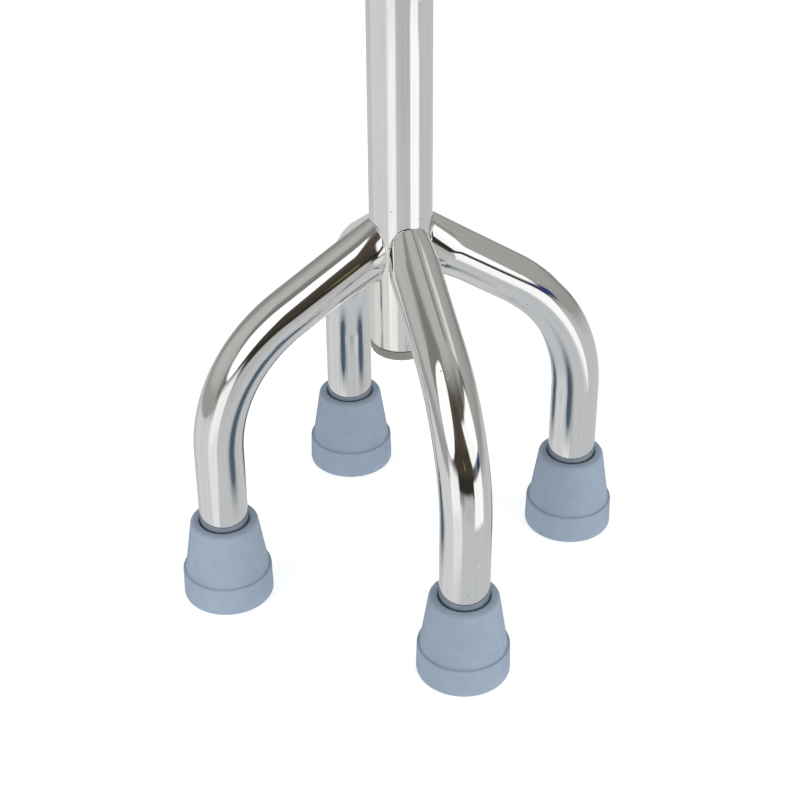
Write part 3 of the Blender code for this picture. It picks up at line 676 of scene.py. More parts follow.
class Nodes:
    """A node tree under way. What goes into a node is a socket, a number or a colour."""

    def __init__(self, tree):
        self.tree = tree

    def add(self, kind, inputs=None, **settings):
        """Adds a node with its settings, and its inputs by name or order."""
        made = self.tree.nodes.new("ShaderNode" + kind)
        for name, value in settings.items():
            setattr(made, name, value)
        for key, value in (inputs or {}).items():
            feed(made.inputs[key], value)
        return made

    def own_place(self):
        """Place on the piece."""
        return self.add("TexCoord").outputs["Object"]

    def attribute(self, name):
        """A value that the mesh carries."""
        return self.add("Attribute", attribute_name=name)

    def spread(self, source, low, high, start=0.0, end=1.0, **settings):
        """Maps a value from start and end to low and high."""
        ends = {"Value": source, "From Min": start, "From Max": end, "To Min": low, "To Max": high}
        return self.add("MapRange", ends, **settings).outputs["Result"]

    def soft_step(self, value, edge, softness):
        """1 below an edge and 0 above it, with a soft change between."""
        half = softness / 2
        return self.spread(value, 0.0, 1.0, edge + half, edge - half, interpolation_type="SMOOTHSTEP")

    def calculate(self, operation, *operands):
        """A calculation with numbers."""
        return self.add("Math", dict(enumerate(operands)), operation=operation).outputs["Value"]

    def blend(self, share, first, second, label=""):
        """A colour between the first and the second."""
        inputs = {"Factor": share, "A": first, "B": second}
        return self.add("Mix", inputs, data_type="RGBA", label=label).outputs["Result"]

    def drawn_out(self, place, scale):
        """A place whose pattern is drawn out along the piece, by a smaller scale there."""
        return self.add("Mapping", {"Vector": place, "Scale": (1.0, 1.0, scale)}).outputs["Vector"]

    def noise(self, place, scale, detail=2.0, roughness=0.5):
        """Fractal noise at a place."""
        inputs = {"Vector": place, "Scale": scale, "Detail": detail, "Roughness": roughness}
        return self.add("TexNoise", inputs).outputs["Fac"]

    def parts(self, place):
        """A place's three numbers, by their axes."""
        return self.add("SeparateXYZ", {"Vector": place}).outputs

    def relief(self, shader, *layers):
        """Raises the shader's surface by layers, each a height and its depth in metres."""
        normal = None
        for height, depth in layers:
            made = self.add("Bump", {"Strength": 1.0, "Distance": depth, "Height": height})
            if normal:
                feed(made.inputs["Normal"], normal)
            normal = made.outputs["Normal"]
        feed(shader.inputs["Normal"], normal)


def new_material(name, colour_value, metallic, roughness):
    """A Principled material, its nodes and its shader."""
    material = bpy.data.materials.new(name)
    material.use_nodes = True
    material.diffuse_color = (*colour_value, 1.0)
    shader = material.node_tree.nodes["Principled BSDF"]
    for socket, value in (("Base Color", colour_value), ("Metallic", metallic), ("Roughness", roughness)):
        feed(shader.inputs[socket], value)
    return material, Nodes(material.node_tree), shader


def chrome_finish(name, finishes):
    """Bright chrome on drawn tube: lines along the tube, slow waves, and specks and pimples in the plate."""
    least = finishes.chrome_roughness
    material, nodes, shader = new_material(name, finishes.chrome, 1.0, least)
    place = nodes.attribute("tube_place").outputs["Vector"]
    lines = nodes.noise(nodes.drawn_out(place, 0.010), 900.0, 3.0, 0.6)
    waves = nodes.noise(nodes.drawn_out(place, 0.30), 160.0)
    specks = nodes.noise(nodes.drawn_out(place, 0.6), 3600.0, 1.0)
    haze = nodes.noise(nodes.drawn_out(place, 0.25), 60.0, 4.0, 0.6)
    cells = nodes.add("TexVoronoi", {"Vector": place, "Scale": 450.0}).outputs
    chance = nodes.add("SeparateColor", {"Color": cells["Color"]}).outputs["Red"]
    pimple = nodes.spread(cells["Distance"], 1.0, 0.0, 0.03, 0.22)
    pimple = nodes.calculate("MULTIPLY", pimple, nodes.spread(chance, 0.0, 1.0, 0.94, 0.97))
    plate = nodes.blend(nodes.spread(lines, 0.0, 1.0, 0.46, 0.66), finishes.chrome, finishes.chrome_lines)
    thin = nodes.attribute("thin_plate").outputs["Fac"]
    bare = nodes.calculate("MULTIPLY", thin, nodes.spread(lines, 0.65, 1.0, 0.35, 0.60))
    feed(shader.inputs["Base Color"], nodes.blend(bare, plate, finishes.nickel))
    feed(shader.inputs["Roughness"], nodes.spread(haze, least, least + 0.03, 0.45, 0.75))
    nodes.relief(shader, (lines, 0.000008), (waves, 0.000022), (specks, 0.00000035), (pimple, 0.00010))
    return material


def rubber_finish(name, finishes):
    """Matt blue-grey rubber with a faint bloom, fine grain and moulding marks, and painted shade round the
    bore.
    """
    material, nodes, shader = new_material(name, finishes.rubber, 0.0, 0.55)
    place = nodes.own_place()
    cloud = nodes.noise(place, 140.0, 4.0, 0.6)
    bloom = nodes.blend(nodes.spread(cloud, 0.0, 0.8, 0.35, 0.75), finishes.rubber, finishes.rubber_bloom)
    from_axis = nodes.add("VectorMath", {0: nodes.drawn_out(place, 0.0)}, operation="LENGTH")
    bore = bpy.context.scene.cane_ferrules.bore
    # Painted shade: the rubber darkens towards the bore, standing in for the shade in the gap round the tube
    bore_shade = nodes.spread(from_axis.outputs["Value"], 1.0, 0.0, bore + 0.0003, bore + 0.0010)
    feed(shader.inputs["Base Color"], nodes.blend(bore_shade, bloom, finishes.painted_bore_shade))
    feed(shader.inputs["Roughness"], nodes.spread(cloud, 0.5, 0.66, 0.3, 0.7))
    grain = nodes.noise(place, 2600.0, 3.0, 0.6)
    nodes.relief(shader, (grain, 0.00002), (nodes.noise(place, 260.0), 0.00006))
    return material


def vinyl_finish(name, finishes):
    """Soft vinyl with a pebbled grain and painted shade between its pebbles, paler where hands polish it,
    and a mould line above and below.
    """
    material, nodes, shader = new_material(name, finishes.vinyl, 0.0, 0.48)
    place = nodes.own_place()
    wear = nodes.noise(place, 45.0, 3.0, 0.6)
    worn = nodes.blend(nodes.spread(wear, 0.0, 0.9, 0.35, 0.75), finishes.vinyl, finishes.vinyl_worn)
    cells = nodes.add("TexVoronoi", {"Vector": place, "Scale": 760.0}, feature="SMOOTH_F1")
    pebbles = nodes.spread(cells.outputs["Distance"], 1.0, 0.0, 0.05, 0.6)
    # Painted shade: the vinyl darkens in the hollows between the pebbles
    pebble_shade = nodes.spread(pebbles, 0.45, 0.0, 0.0, 0.45)
    feed(shader.inputs["Base Color"], nodes.blend(pebble_shade, worn, finishes.vinyl_pebble_shade))
    feed(shader.inputs["Roughness"], nodes.spread(wear, 0.40, 0.55, 0.3, 0.7))
    aside = nodes.calculate("ABSOLUTE", nodes.parts(place)["X"])
    mould_line = nodes.spread(aside, 1.0, 0.0, 0.00015, 0.00045)
    fine = nodes.noise(place, 3000.0)
    nodes.relief(shader, (pebbles, 0.00022), (mould_line, 0.00018), (fine, 0.00002))
    return material


def plastic_finish(name, finishes):
    """Moulded dark grey plastic with a fine spark-eroded grain."""
    material, nodes, shader = new_material(name, finishes.plastic, 0.0, 0.42)
    grain = nodes.noise(nodes.own_place(), 1800.0, 3.0, 0.6)
    feed(shader.inputs["Roughness"], nodes.spread(grain, 0.38, 0.52, 0.3, 0.7))
    nodes.relief(shader, (grain, 0.000025))
    return material


def steel_finish(colour_name, roughness, along):
    """Plain steel strip or sheet, with a little cloudiness and rolled lines, long ones for a small scale."""

    def make(name, finishes):
        material, nodes, shader = new_material(name, getattr(finishes, colour_name), 1.0, roughness)
        lines = nodes.noise(nodes.drawn_out(nodes.own_place(), along), 900.0, 3.0, 0.6)
        cloudy = nodes.spread(lines, roughness - 0.08, roughness + 0.12, 0.3, 0.7)
        feed(shader.inputs["Roughness"], cloudy)
        nodes.relief(shader, (lines, 0.000008))
        return material

    return make


# Each of the record's material slots, with its finish
FINISHES = {
    "chrome_tube": ("chrome_plate", chrome_finish),
    "ferrule_rubber": ("moulded_rubber", rubber_finish),
    "grip_vinyl": ("pebbled_vinyl", vinyl_finish),
    "plug_plastic": ("moulded_plastic", plastic_finish),
    "button_steel": ("turned_steel", steel_finish("chrome", 0.12, 1.0)),
    "spring_steel": ("blued_strip", steel_finish("spring", 0.28, 0.02)),
    "zinc_steel": ("zinc_sheet", steel_finish("zinc", 0.34, 1.0)),
}


def material_for(slot):
    """The finish for a material slot, made once."""
    name, make = FINISHES[slot]
    return bpy.data.materials.get(name) or make(name, bpy.context.scene.cane_finishes)


# Studio

# Tone of the room by height angle in degrees, from straight down to straight up
ROOM = (
    (-90, (0.610, 0.622, 0.640)),
    (-48, (0.585, 0.607, 0.632)),
    (-30, (0.605, 0.613, 0.625)),
    (-17, (0.590, 0.595, 0.600)),
    (-12, (0.520, 0.520, 0.520)),
    (-6, (0.365, 0.362, 0.355)),
    (2, (0.370, 0.367, 0.350)),
    (12, (0.405, 0.405, 0.385)),
    (32, (0.425, 0.427, 0.405)),
    (56, (0.405, 0.407, 0.387)),
    (68, (0.465, 0.468, 0.447)),
    (80, (0.515, 0.518, 0.497)),
)

# What stands in the studio, by direction in degrees: azimuth from the camera's side, height angle, half
# width, half height, lean, softness and tone. Panels stand close to the cane, and the rest is far off
FAR_CARDS = (
    ("dark_room", 5, 20, 52, 33, 0.0, 24, (0.115, 0.105, 0.088)),
    ("dark_room_middle", 4, 26, 15, 18, 0.0, 14, (0.085, 0.068, 0.052)),
    ("dark_room_right", 73, 37, 14, 7, 0.0, 8, (0.190, 0.182, 0.168)),
    ("dark_low", 6, 5, 34, 12, 0.0, 8, (0.062, 0.052, 0.040)),
    ("left_wall", -90, 26, 32, 27, 0.0, 18, (0.530, 0.535, 0.515)),
    ("ceiling_beam_left", -66, 57, 11, 11, 0.0, 9, (0.295, 0.295, 0.280)),
    ("ceiling_beam_right", 85, 69, 8, 3.6, 0.0, 4, (0.255, 0.255, 0.240)),
    ("dark_corner", 142, -3, 13, 10, 0.0, 10, (0.270, 0.270, 0.262)),
    ("floor_left", -72, -30, 46, 16, 0.0, 12, (0.715, 0.725, 0.740)),
    ("backdrop_edge", -90, -8.5, 48, 6.2, 0.0, 16, (0.375, 0.375, 0.358)),
    ("left_floor_glow", -30, -28, 15, 11, 0.0, 3, (0.880, 0.890, 0.905)),
    ("right_floor_glow", 50.5, -24.75, 13.3, 6.25, 0.0, 5, (1.100, 1.100, 1.100)),
    ("floor_front", 16, -18, 18, 8, 0.0, 10, (0.550, 0.548, 0.545)),
    ("table_edge", 2, -4, 38, 5, 0.0, 4, (0.036, 0.032, 0.026)),
    ("table_edge_right", 50, -8, 16, 4.2, 0.25, 3, (0.012, 0.012, 0.014)),
    ("blue_case", 69, -1, 8, 3.8, 0.25, 4, (0.030, 0.045, 0.170)),
    ("dark_corner_left", -144, 8, 20, 16, 0.0, 12, (0.300, 0.300, 0.290)),
    ("back_window", 180, -31, 10, 26, -1.05, 7, (1.25, 1.25, 1.25)),
    ("back_window_low", 157, -53, 8, 6, 0.0, 6, (1.25, 1.25, 1.25)),
)
PANELS = (
    ("left_softbox_frame", -62, 49, 33, 26, 0.2, 9, (0.230, 0.230, 0.218)),
    ("left_glow_low", -47, -22, 19, 18, 0.0, 5, (0.885, 0.890, 0.900)),
    ("left_glow", -48, -8, 18, 14, 0.0, 12, (1.060, 1.062, 1.068)),
    ("right_glow", 65, -13, 23, 16, 0.0, 5, (1.140, 1.140, 1.145)),
    ("left_softbox", -53, 36, 25, 27, 0.12, 3, (1.25, 1.25, 1.25)),
    ("right_softbox", 69, 29, 22, 16, 0.0, 5, (1.25, 1.25, 1.25)),
    ("right_softbox_corner", 47, 29, 14, 14, -0.8, 6, (1.15, 1.15, 1.15)),
    ("green_case", 5.5, 17, 2.4, 3.2, -0.55, 3, (0.22, 0.22, 0.08)),
    ("side_card", 118, 55, 15, 5.5, 0.0, 7, (0.80, 0.805, 0.79)),
)
ROUND_CARDS = ("backdrop_edge", "left_softbox", "left_softbox_frame")

# The softboxes as they light the cane and the floor, which the chrome doesn't mirror
SOFTBOXES = (
    ("left_softbox", -40, 26, 20, 24, 0.2, 4, (1.3, 1.3, 1.3)),
    ("right_softbox", 58, 17, 29, 17, 0.0, 4, (2.8, 2.8, 2.8)),
    ("top_softbox", 0, 90, 181, 24, 0.0, 10, (1.4, 1.4, 1.4)),
)
DEGREES = 180 / math.pi

# Small sizes and steps of the studio's pieces
FLOOR_SPECULAR = 0.1
PANEL_SIDES = 96
SHADE_SIDES = 48
SHADE_LIFT = 0.0006
SHADE_STAND = 0.0008
SHADE_LEDGE = 0.0022
SHADE_FOOT = 0.0024
LAMP_SIDE = math.radians(48)
LAMP_RISE = 0.45
LAMP_WIDTH = 0.6
LAMP_AIM = 0.02
NEAR_CLIP = 0.01


def azimuth_and_height(nodes, direction):
    """Both angles of a direction in degrees. The azimuth counts from -Y towards +X."""
    unit = nodes.add("VectorMath", {0: direction}, operation="NORMALIZE").outputs["Vector"]
    x, y, z = nodes.parts(unit)
    azimuth = nodes.calculate("ARCTAN2", x, nodes.calculate("MULTIPLY", y, -1.0))
    height = nodes.calculate("ARCSINE", z)
    return nodes.calculate("MULTIPLY", azimuth, DEGREES), nodes.calculate("MULTIPLY", height, DEGREES)


def card_share(nodes, azimuth, height, card):
    """How far a soft-edged card covers a direction, from 0 to 1."""
    name, turn, rise, half_width, half_height, lean, softness, _ = card
    centre = nodes.calculate("MULTIPLY_ADD", height, lean, turn - lean * rise)
    aside = nodes.calculate("WRAP", nodes.calculate("SUBTRACT", azimuth, centre), 180.0, -180.0)
    aside = nodes.calculate("ABSOLUTE", aside)
    above = nodes.calculate("ABSOLUTE", nodes.calculate("SUBTRACT", height, rise))
    if name in ROUND_CARDS:
        squares = [nodes.calculate("POWER", offset, 2.0) for offset in (aside, above)]
        squares[1] = nodes.calculate("MULTIPLY", squares[1], (half_width / half_height) ** 2)
        reach = nodes.calculate("SQRT", nodes.calculate("ADD", *squares))
        return nodes.soft_step(reach, half_width, softness)
    sides = nodes.soft_step(aside, half_width, softness)
    return nodes.calculate("MULTIPLY", sides, nodes.soft_step(above, half_height, softness))


def cards_over(nodes, tone, azimuth, height, cards):
    """Lays soft-edged cards over a tone."""
    for card in cards:
        tone = nodes.blend(card_share(nodes, azimuth, height, card), tone, card[-1], card[0])
    return tone


# Operators

# Small roundings, walls and steps of the pieces, in the order in which they are made
PLATE_FADE = 0.012
PLUG_WALL = 0.002
FITTING_SIDES = 128
FERRULE_SIDES = 160
TREAD_GROOVES = 2
SMALL_EDGE = 0.0002
LOWER_BEND_ROWS = 36
UPPER_BEND_ROWS = 72
SHAFT_HOLE_EDGE = 0.0002
BUTTON_SIDES = 96
BUTTON_DOME = 0.0023
HEAD_THICKNESS = 0.0012
STRIP_EDGE = 0.0001
STRIP_STEP = 0.0012
STRIP_TURN_STEPS = 24
STRIP_BEND = 0.006
KNEE_BEND = 0.003
GRIP_SIDES = 144
FLANGE_EDGE = 0.0016
FLANGE_STEPS = 6
NECK_FILLET = 0.0012
WAVE_RINGS = 24
BORE_EDGE = 0.0004
GRIP_END_STEPS = 12
GRIP_END_FLAT = 0.62
GRIP_END_SHARES = (0.45, 0.25, 0.1)


def feet(pitch):
    """Place of each foot on the floor."""
    return {corner: (pitch / 2 * side, pitch / 2 * end) for corner, (side, end) in CORNERS.items()}


class CANE_OT_column(Operator):
    """Make the column: a chrome tube with its row of height holes"""

    bl_idname = "cane.column"
    bl_label = "Column"

    def execute(self, context):
        sizes = context.scene.cane_column
        holes = [sizes.lowest_hole + sizes.hole_pitch * index for index in range(sizes.hole_count)]
        hole = sizes.hole_diameter / 2
        low = node_low("column").z + sizes.edge
        high = node_high("column").z - sizes.edge
        thin_top = sizes.thin_plate_top
        stations = straight_stations(low, high, holes, hole, (thin_top - PLATE_FADE, thin_top))
        mesh = drilled_tube("column_tube", stations, sizes.diameter / 2, sizes.wall, holes, hole, sizes.edge)
        mark_thin_plate(mesh, lambda place: (thin_top - place.z) / PLATE_FADE)
        add_piece("column_tube", mesh, "chrome_tube", "base", "column")
        return {"FINISHED"}


class CANE_OT_column_fittings(Operator):
    """Make the plug in the column's lower end and the cap on its upper end"""

    bl_idname = "cane.column_fittings"
    bl_label = "Column Plug and Cap"

    def plug(self, sizes):
        """Half section of the plug: a hollow spigot in the column, and a rim below it."""
        low, high = node_low("column_end_plug").z, node_high("column_end_plug").z
        seat = low + sizes.plug_rim
        spigot = sizes.diameter / 2 - sizes.wall - GAP
        return rounded([
            (0.0, seat, 0),
            (spigot - PLUG_WALL, seat, 0.0003),
            (spigot - PLUG_WALL, high, 0.0003),
            (spigot, high, 0.0008),
            (spigot, seat, 0),
            (sizes.diameter / 2, seat, 0.00025),
            (sizes.diameter / 2, low, sizes.plug_edge),
            (0.0, low, 0),
        ])

    def cap(self, sizes, guide):
        """Half section of the cap: a skirt round the column, and a crown that guides the handle shaft."""
        low, high = node_low("column_top_cap").z, node_high("column_top_cap").z
        outer = node_size("column_top_cap").x / 2
        inner = sizes.diameter / 2 + GAP
        seat = node_high("column").z + GAP
        return rounded([
            (inner, low, SMALL_EDGE),
            (inner, seat, 0),
            (guide, seat, SMALL_EDGE),
            (guide, high, 0.0004),
            (outer, high, sizes.cap_edge),
            (outer, low, 0.0005),
        ])

    def execute(self, context):
        sizes = context.scene.cane_column
        plug = turned("end_plug", self.plug(sizes), FITTING_SIDES)
        add_piece("end_plug", plug, "plug_plastic", "base", "column_end_plug")
        guide = context.scene.cane_handle.radius + GAP
        cap = turned("top_cap", self.cap(sizes, guide), FITTING_SIDES, closed=True)
        add_piece("top_cap", cap, "plug_plastic", "base", "column_top_cap")
        return {"FINISHED"}


class CANE_OT_legs(Operator):
    """Make the four bent legs, squeezed and welded round the column"""

    bl_idname = "cane.legs"
    bl_label = "Legs"

    def execute(self, context):
        shape = LegShape(context.scene.cane_legs, context.scene.cane_column.diameter / 2)
        for corner, (side, end) in CORNERS.items():
            mesh = leg_mesh(shape, node_low("leg_" + corner).z)
            mark_thin_plate(mesh, shape.crowded)
            mesh.transform(Matrix.Rotation(math.atan2(end, side), 4, "Z"))
            mesh.update()
            add_piece("bent_leg_" + corner, mesh, "chrome_tube", "base", "leg_" + corner)
        return {"FINISHED"}


class CANE_OT_ferrules(Operator):
    """Make the four rubber ferrules"""

    bl_idname = "cane.ferrules"
    bl_label = "Ferrules"

    def profile(self, sizes):
        """Half section of a ferrule: bore, rounded rim, tapered body, collar and ringed tread."""
        rim = sizes.bore + sizes.rim_wall
        foot = rim + sizes.taper
        collar = foot + sizes.ledge
        base = collar + sizes.flare
        corners = [
            (0.0, sizes.floor, 0),
            (sizes.bore, sizes.floor, 0.0004),
            (sizes.bore, sizes.height, 0.0005),
            (rim, sizes.height, sizes.rim_edge),
            (foot, sizes.collar, SMALL_EDGE),
            (collar, sizes.collar, 0.0005),
            (base, 0.0, 0.0010),
        ]
        for groove in range(TREAD_GROOVES):
            outer = base - sizes.tread_land - groove * (sizes.tread_land + sizes.tread_groove)
            inner = outer - sizes.tread_groove
            places = ((outer, 0.0), (outer, sizes.tread_depth), (inner, sizes.tread_depth), (inner, 0.0))
            corners += [(*place, SMALL_EDGE) for place in places]
        return rounded([*corners, (0.0, 0.0, 0)])

    def execute(self, context):
        sizes = context.scene.cane_ferrules
        for corner, place in feet(context.scene.cane_legs.foot_pitch).items():
            mesh = turned("rubber_foot", self.profile(sizes), FERRULE_SIDES)
            piece = add_piece("rubber_foot_" + corner, mesh, "ferrule_rubber", "base", "ferrule_" + corner)
            piece.location = (*place, 0.0)
        return {"FINISHED"}


class CANE_OT_handle_shaft(Operator):
    """Make the handle shaft: the inner tube with its swan neck"""

    bl_idname = "cane.handle_shaft"
    bl_label = "Handle Shaft"

    def run_on(self, stations, place):
        """Runs the tube straight on to a place."""
        last, north, along = stations[-1]
        stations.append((place, north, along + (place - last).length))

    def bend(self, stations, centre, radius, start, end, rows):
        """Bends the tube round a centre. The radius counts to its north side from there."""
        along = stations[-1][2]
        for row in range(1, rows + 1):
            swung = (end - start) * row / rows
            north = Vector((0, math.cos(start + swung), -math.sin(start + swung)))
            stations.append((centre + north * radius, north, along + abs(radius * swung)))

    def stations(self, sizes, hole_height, hole):
        """Stations of the shaft: upright, leaning forward, then over and back to the grip's end."""
        low, high = node_low("handle_shaft"), node_high("handle_shaft")
        lean = sizes.neck_lean
        lower, upper = sizes.lower_radius, sizes.upper_radius
        axis = high.z - sizes.radius
        top = Vector((0, high.y - sizes.radius - upper, axis - upper))
        straight_end = top + Vector((0, math.cos(lean), -math.sin(lean))) * upper
        rise = (straight_end.y - lower * (1 - math.cos(lean))) / math.tan(lean)
        start = straight_end.z - rise - lower * math.sin(lean)
        stations = straight_stations(low.z, start, [hole_height], hole)
        self.bend(stations, Vector((0, lower, start)), -lower, 0.0, lean, LOWER_BEND_ROWS)
        self.run_on(stations, straight_end)
        self.bend(stations, top, upper, lean, -QUARTER, UPPER_BEND_ROWS)
        self.run_on(stations, Vector((0, low.y, axis)))
        return stations

    def execute(self, context):
        sizes = context.scene.cane_handle
        column = context.scene.cane_column
        height, hole = column.lowest_hole, column.hole_diameter / 2
        stations = self.stations(sizes, height, hole)
        radius, wall = sizes.radius, sizes.wall
        mesh = drilled_tube("swan_neck_tube", stations, radius, wall, [height], hole, SHAFT_HOLE_EDGE)
        add_piece("swan_neck_tube", mesh, "chrome_tube", "handle", "handle_shaft")
        return {"FINISHED"}


class CANE_OT_snap_button(Operator):
    """Make the snap button: a domed steel pin with a flat head"""

    bl_idname = "cane.snap_button"
    bl_label = "Snap Button"

    def execute(self, context):
        sizes = context.scene.cane_handle
        column = context.scene.cane_column
        tip = column.diameter / 2 + sizes.button_stand
        head_radius = sizes.button_radius + sizes.head_ledge
        head_front = math.sqrt((sizes.radius - sizes.wall) ** 2 - head_radius**2) - GAP
        head_back = head_front - HEAD_THICKNESS
        corners = [
            (0.0, tip, 0),
            (sizes.button_radius, tip, BUTTON_DOME),
            (sizes.button_radius, head_front, SMALL_EDGE),
            (head_radius, head_front, 0.0003),
            (head_radius, head_back, 0.0003),
            (0.0, head_back, 0),
        ]
        mesh = turned("button_pin", rounded(corners, 10), BUTTON_SIDES)
        to_rear = (-NORTH).to_track_quat("Z", "Y").to_matrix().to_4x4()
        mesh.transform(Matrix.Translation(UP * column.lowest_hole) @ to_rear)
        mesh.update()
        add_piece("button_pin", mesh, "button_steel", "button", "snap_button")
        return {"FINISHED"}


class CANE_OT_button_spring(Operator):
    """Make the U spring that carries the snap button"""

    bl_idname = "cane.button_spring"
    bl_label = "Button Spring"

    def leg(self, corners):
        """One leg of the strip as a line of close points."""
        line = rounded(corners)
        made = []
        for first, second in zip(line, line[1:]):
            steps = max(1, round((second - first).length / STRIP_STEP))
            made += [first.lerp(second, share) for share in spaced(0.0, 1.0, steps)]
        return made + [line[-1]]

    def ring(self, skin, line, index, half_width, half):
        """The strip's section at one point of its line, with broken edges."""
        along = (line[min(index + 1, len(line) - 1)] - line[max(index - 1, 0)]).normalized()
        section = [(half_width, half - STRIP_EDGE), (half_width - STRIP_EDGE, half)]
        section += [(-aside, off) for aside, off in reversed(section)]
        section += [(aside, -off) for aside, off in reversed(section)]
        out, up = line[index]
        return skin.ring([(aside, -(out + along.y * off), up - along.x * off) for aside, off in section])

    def execute(self, context):
        sizes = context.scene.cane_handle
        low, high = node_low("button_spring"), node_high("button_spring")
        half = sizes.spring_strip / 2
        front, back = -low.y - half, half - high.y
        bend = (front - back) / 4
        middle = (front + back) / 2
        turn_height = high.z - half - bend
        flat_top = low.z + 2 * (sizes.button_radius + sizes.head_ledge)
        knee = flat_top + sizes.spring_foot
        line = self.leg([(front, low.z, 0), (front, flat_top, STRIP_BEND), (middle + bend, turn_height, 0)])
        for roll in spaced(0.0, math.pi, STRIP_TURN_STEPS)[1:]:
            line.append(Vector((middle + bend * math.cos(roll), turn_height + bend * math.sin(roll))))
        line += self.leg([(middle - bend, turn_height, 0), (back, knee, KNEE_BEND), (back, flat_top, 0)])
        skin = Skin()
        rings = [self.ring(skin, line, index, high.x, half) for index in range(len(line))]
        ends = [skin.ring([(0, -line[end].x, line[end].y)]) for end in (0, -1)]
        skin.join_all([ends[0], *rings, ends[1]])
        spring = stand("bent_spring", skin.mesh("bent_spring"), material_for("spring_steel"))
        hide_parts("button_spring")
        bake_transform(spring)
        return {"FINISHED"}


class CANE_OT_grip(Operator):
    """Make the moulded grip, with its flange, finger waves and rounded end"""

    bl_idname = "cane.grip"
    bl_label = "Grip"

    def sections(self, sizes, bore, span):
        """Sections out of the bore and round to the rear: distance, half width, and height up and down."""
        width, top, low = bore + sizes.side_wall, bore + sizes.top_wall, bore + sizes.low_wall
        flange = width + sizes.flange_stand
        thickness = sizes.flange_thickness
        rounds = [(span - sizes.end_wall, bore), (BORE_EDGE, bore), (0.0, bore + BORE_EDGE)]
        rolls = quarter(FLANGE_STEPS)
        rounds += [(FLANGE_EDGE * (1 - cosine), flange - FLANGE_EDGE * (1 - sine)) for sine, cosine in rolls]
        for sine, cosine in rolls:
            rounds.append((thickness - FLANGE_EDGE * (1 - sine), flange - FLANGE_EDGE * (1 - cosine)))
        made = [(distance, stand, stand, stand) for distance, stand in rounds]
        for sine, cosine in rolls[1:]:
            grown = NECK_FILLET * (1 - sine)
            distance = thickness + NECK_FILLET * (1 - cosine)
            made.append((distance, width + grown, top + grown, low + grown))
        body = span - sizes.end_rounding - thickness
        rings = WAVE_RINGS * sizes.waves
        for ring in range(2, rings + 1):
            wave = sizes.wave_depth * (1 - math.cos(FULL * ring / WAVE_RINGS)) / 2
            made.append((thickness + body * ring / rings, width, top, low - wave))
        ends = []
        for sine, cosine in quarter(GRIP_END_STEPS, 1):
            share = GRIP_END_FLAT + (1 - GRIP_END_FLAT) * cosine
            ends.append((span - sizes.end_rounding * (1 - sine), share))
        ends += [(span, share) for share in GRIP_END_SHARES]
        return made + [(distance, width * share, top * share, low * share) for distance, share in ends]

    def execute(self, context):
        sizes = context.scene.cane_grip
        handle = context.scene.cane_handle
        front = node_high("handle_grip").y
        span = node_size("handle_grip").y
        axis = node_high("handle_shaft").z - handle.radius
        skin = Skin()
        rings = [skin.ring([(0, front - span + sizes.end_wall, axis)])]
        for distance, width, top, low in self.sections(sizes, handle.radius + GAP, span):
            ring = []
            for cosine, sine in circle(GRIP_SIDES):
                height = top if sine > 0 else low
                ring.append((width * cosine, front - distance, axis + height * sine))
            rings.append(skin.ring(ring))
        rings.append(skin.ring([(0, front - span, axis)]))
        skin.join_all(rings)
        add_piece("moulded_grip", skin.mesh("moulded_grip"), "grip_vinyl", "handle", "handle_grip")
        return {"FINISHED"}


class CANE_OT_inner_fittings(Operator):
    """Finish the pieces inside the tubes and ferrules: washers and foot bush"""

    bl_idname = "cane.inner_fittings"
    bl_label = "Inner Fittings"

    def execute(self, context):
        slots = {"ferrule_washer_" + corner: "zinc_steel" for corner in CORNERS}
        for name, slot in {"shaft_foot_bush": "plug_plastic", **slots}.items():
            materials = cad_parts[name].data.materials
            materials.clear()
            materials.append(material_for(slot))
        return {"FINISHED"}


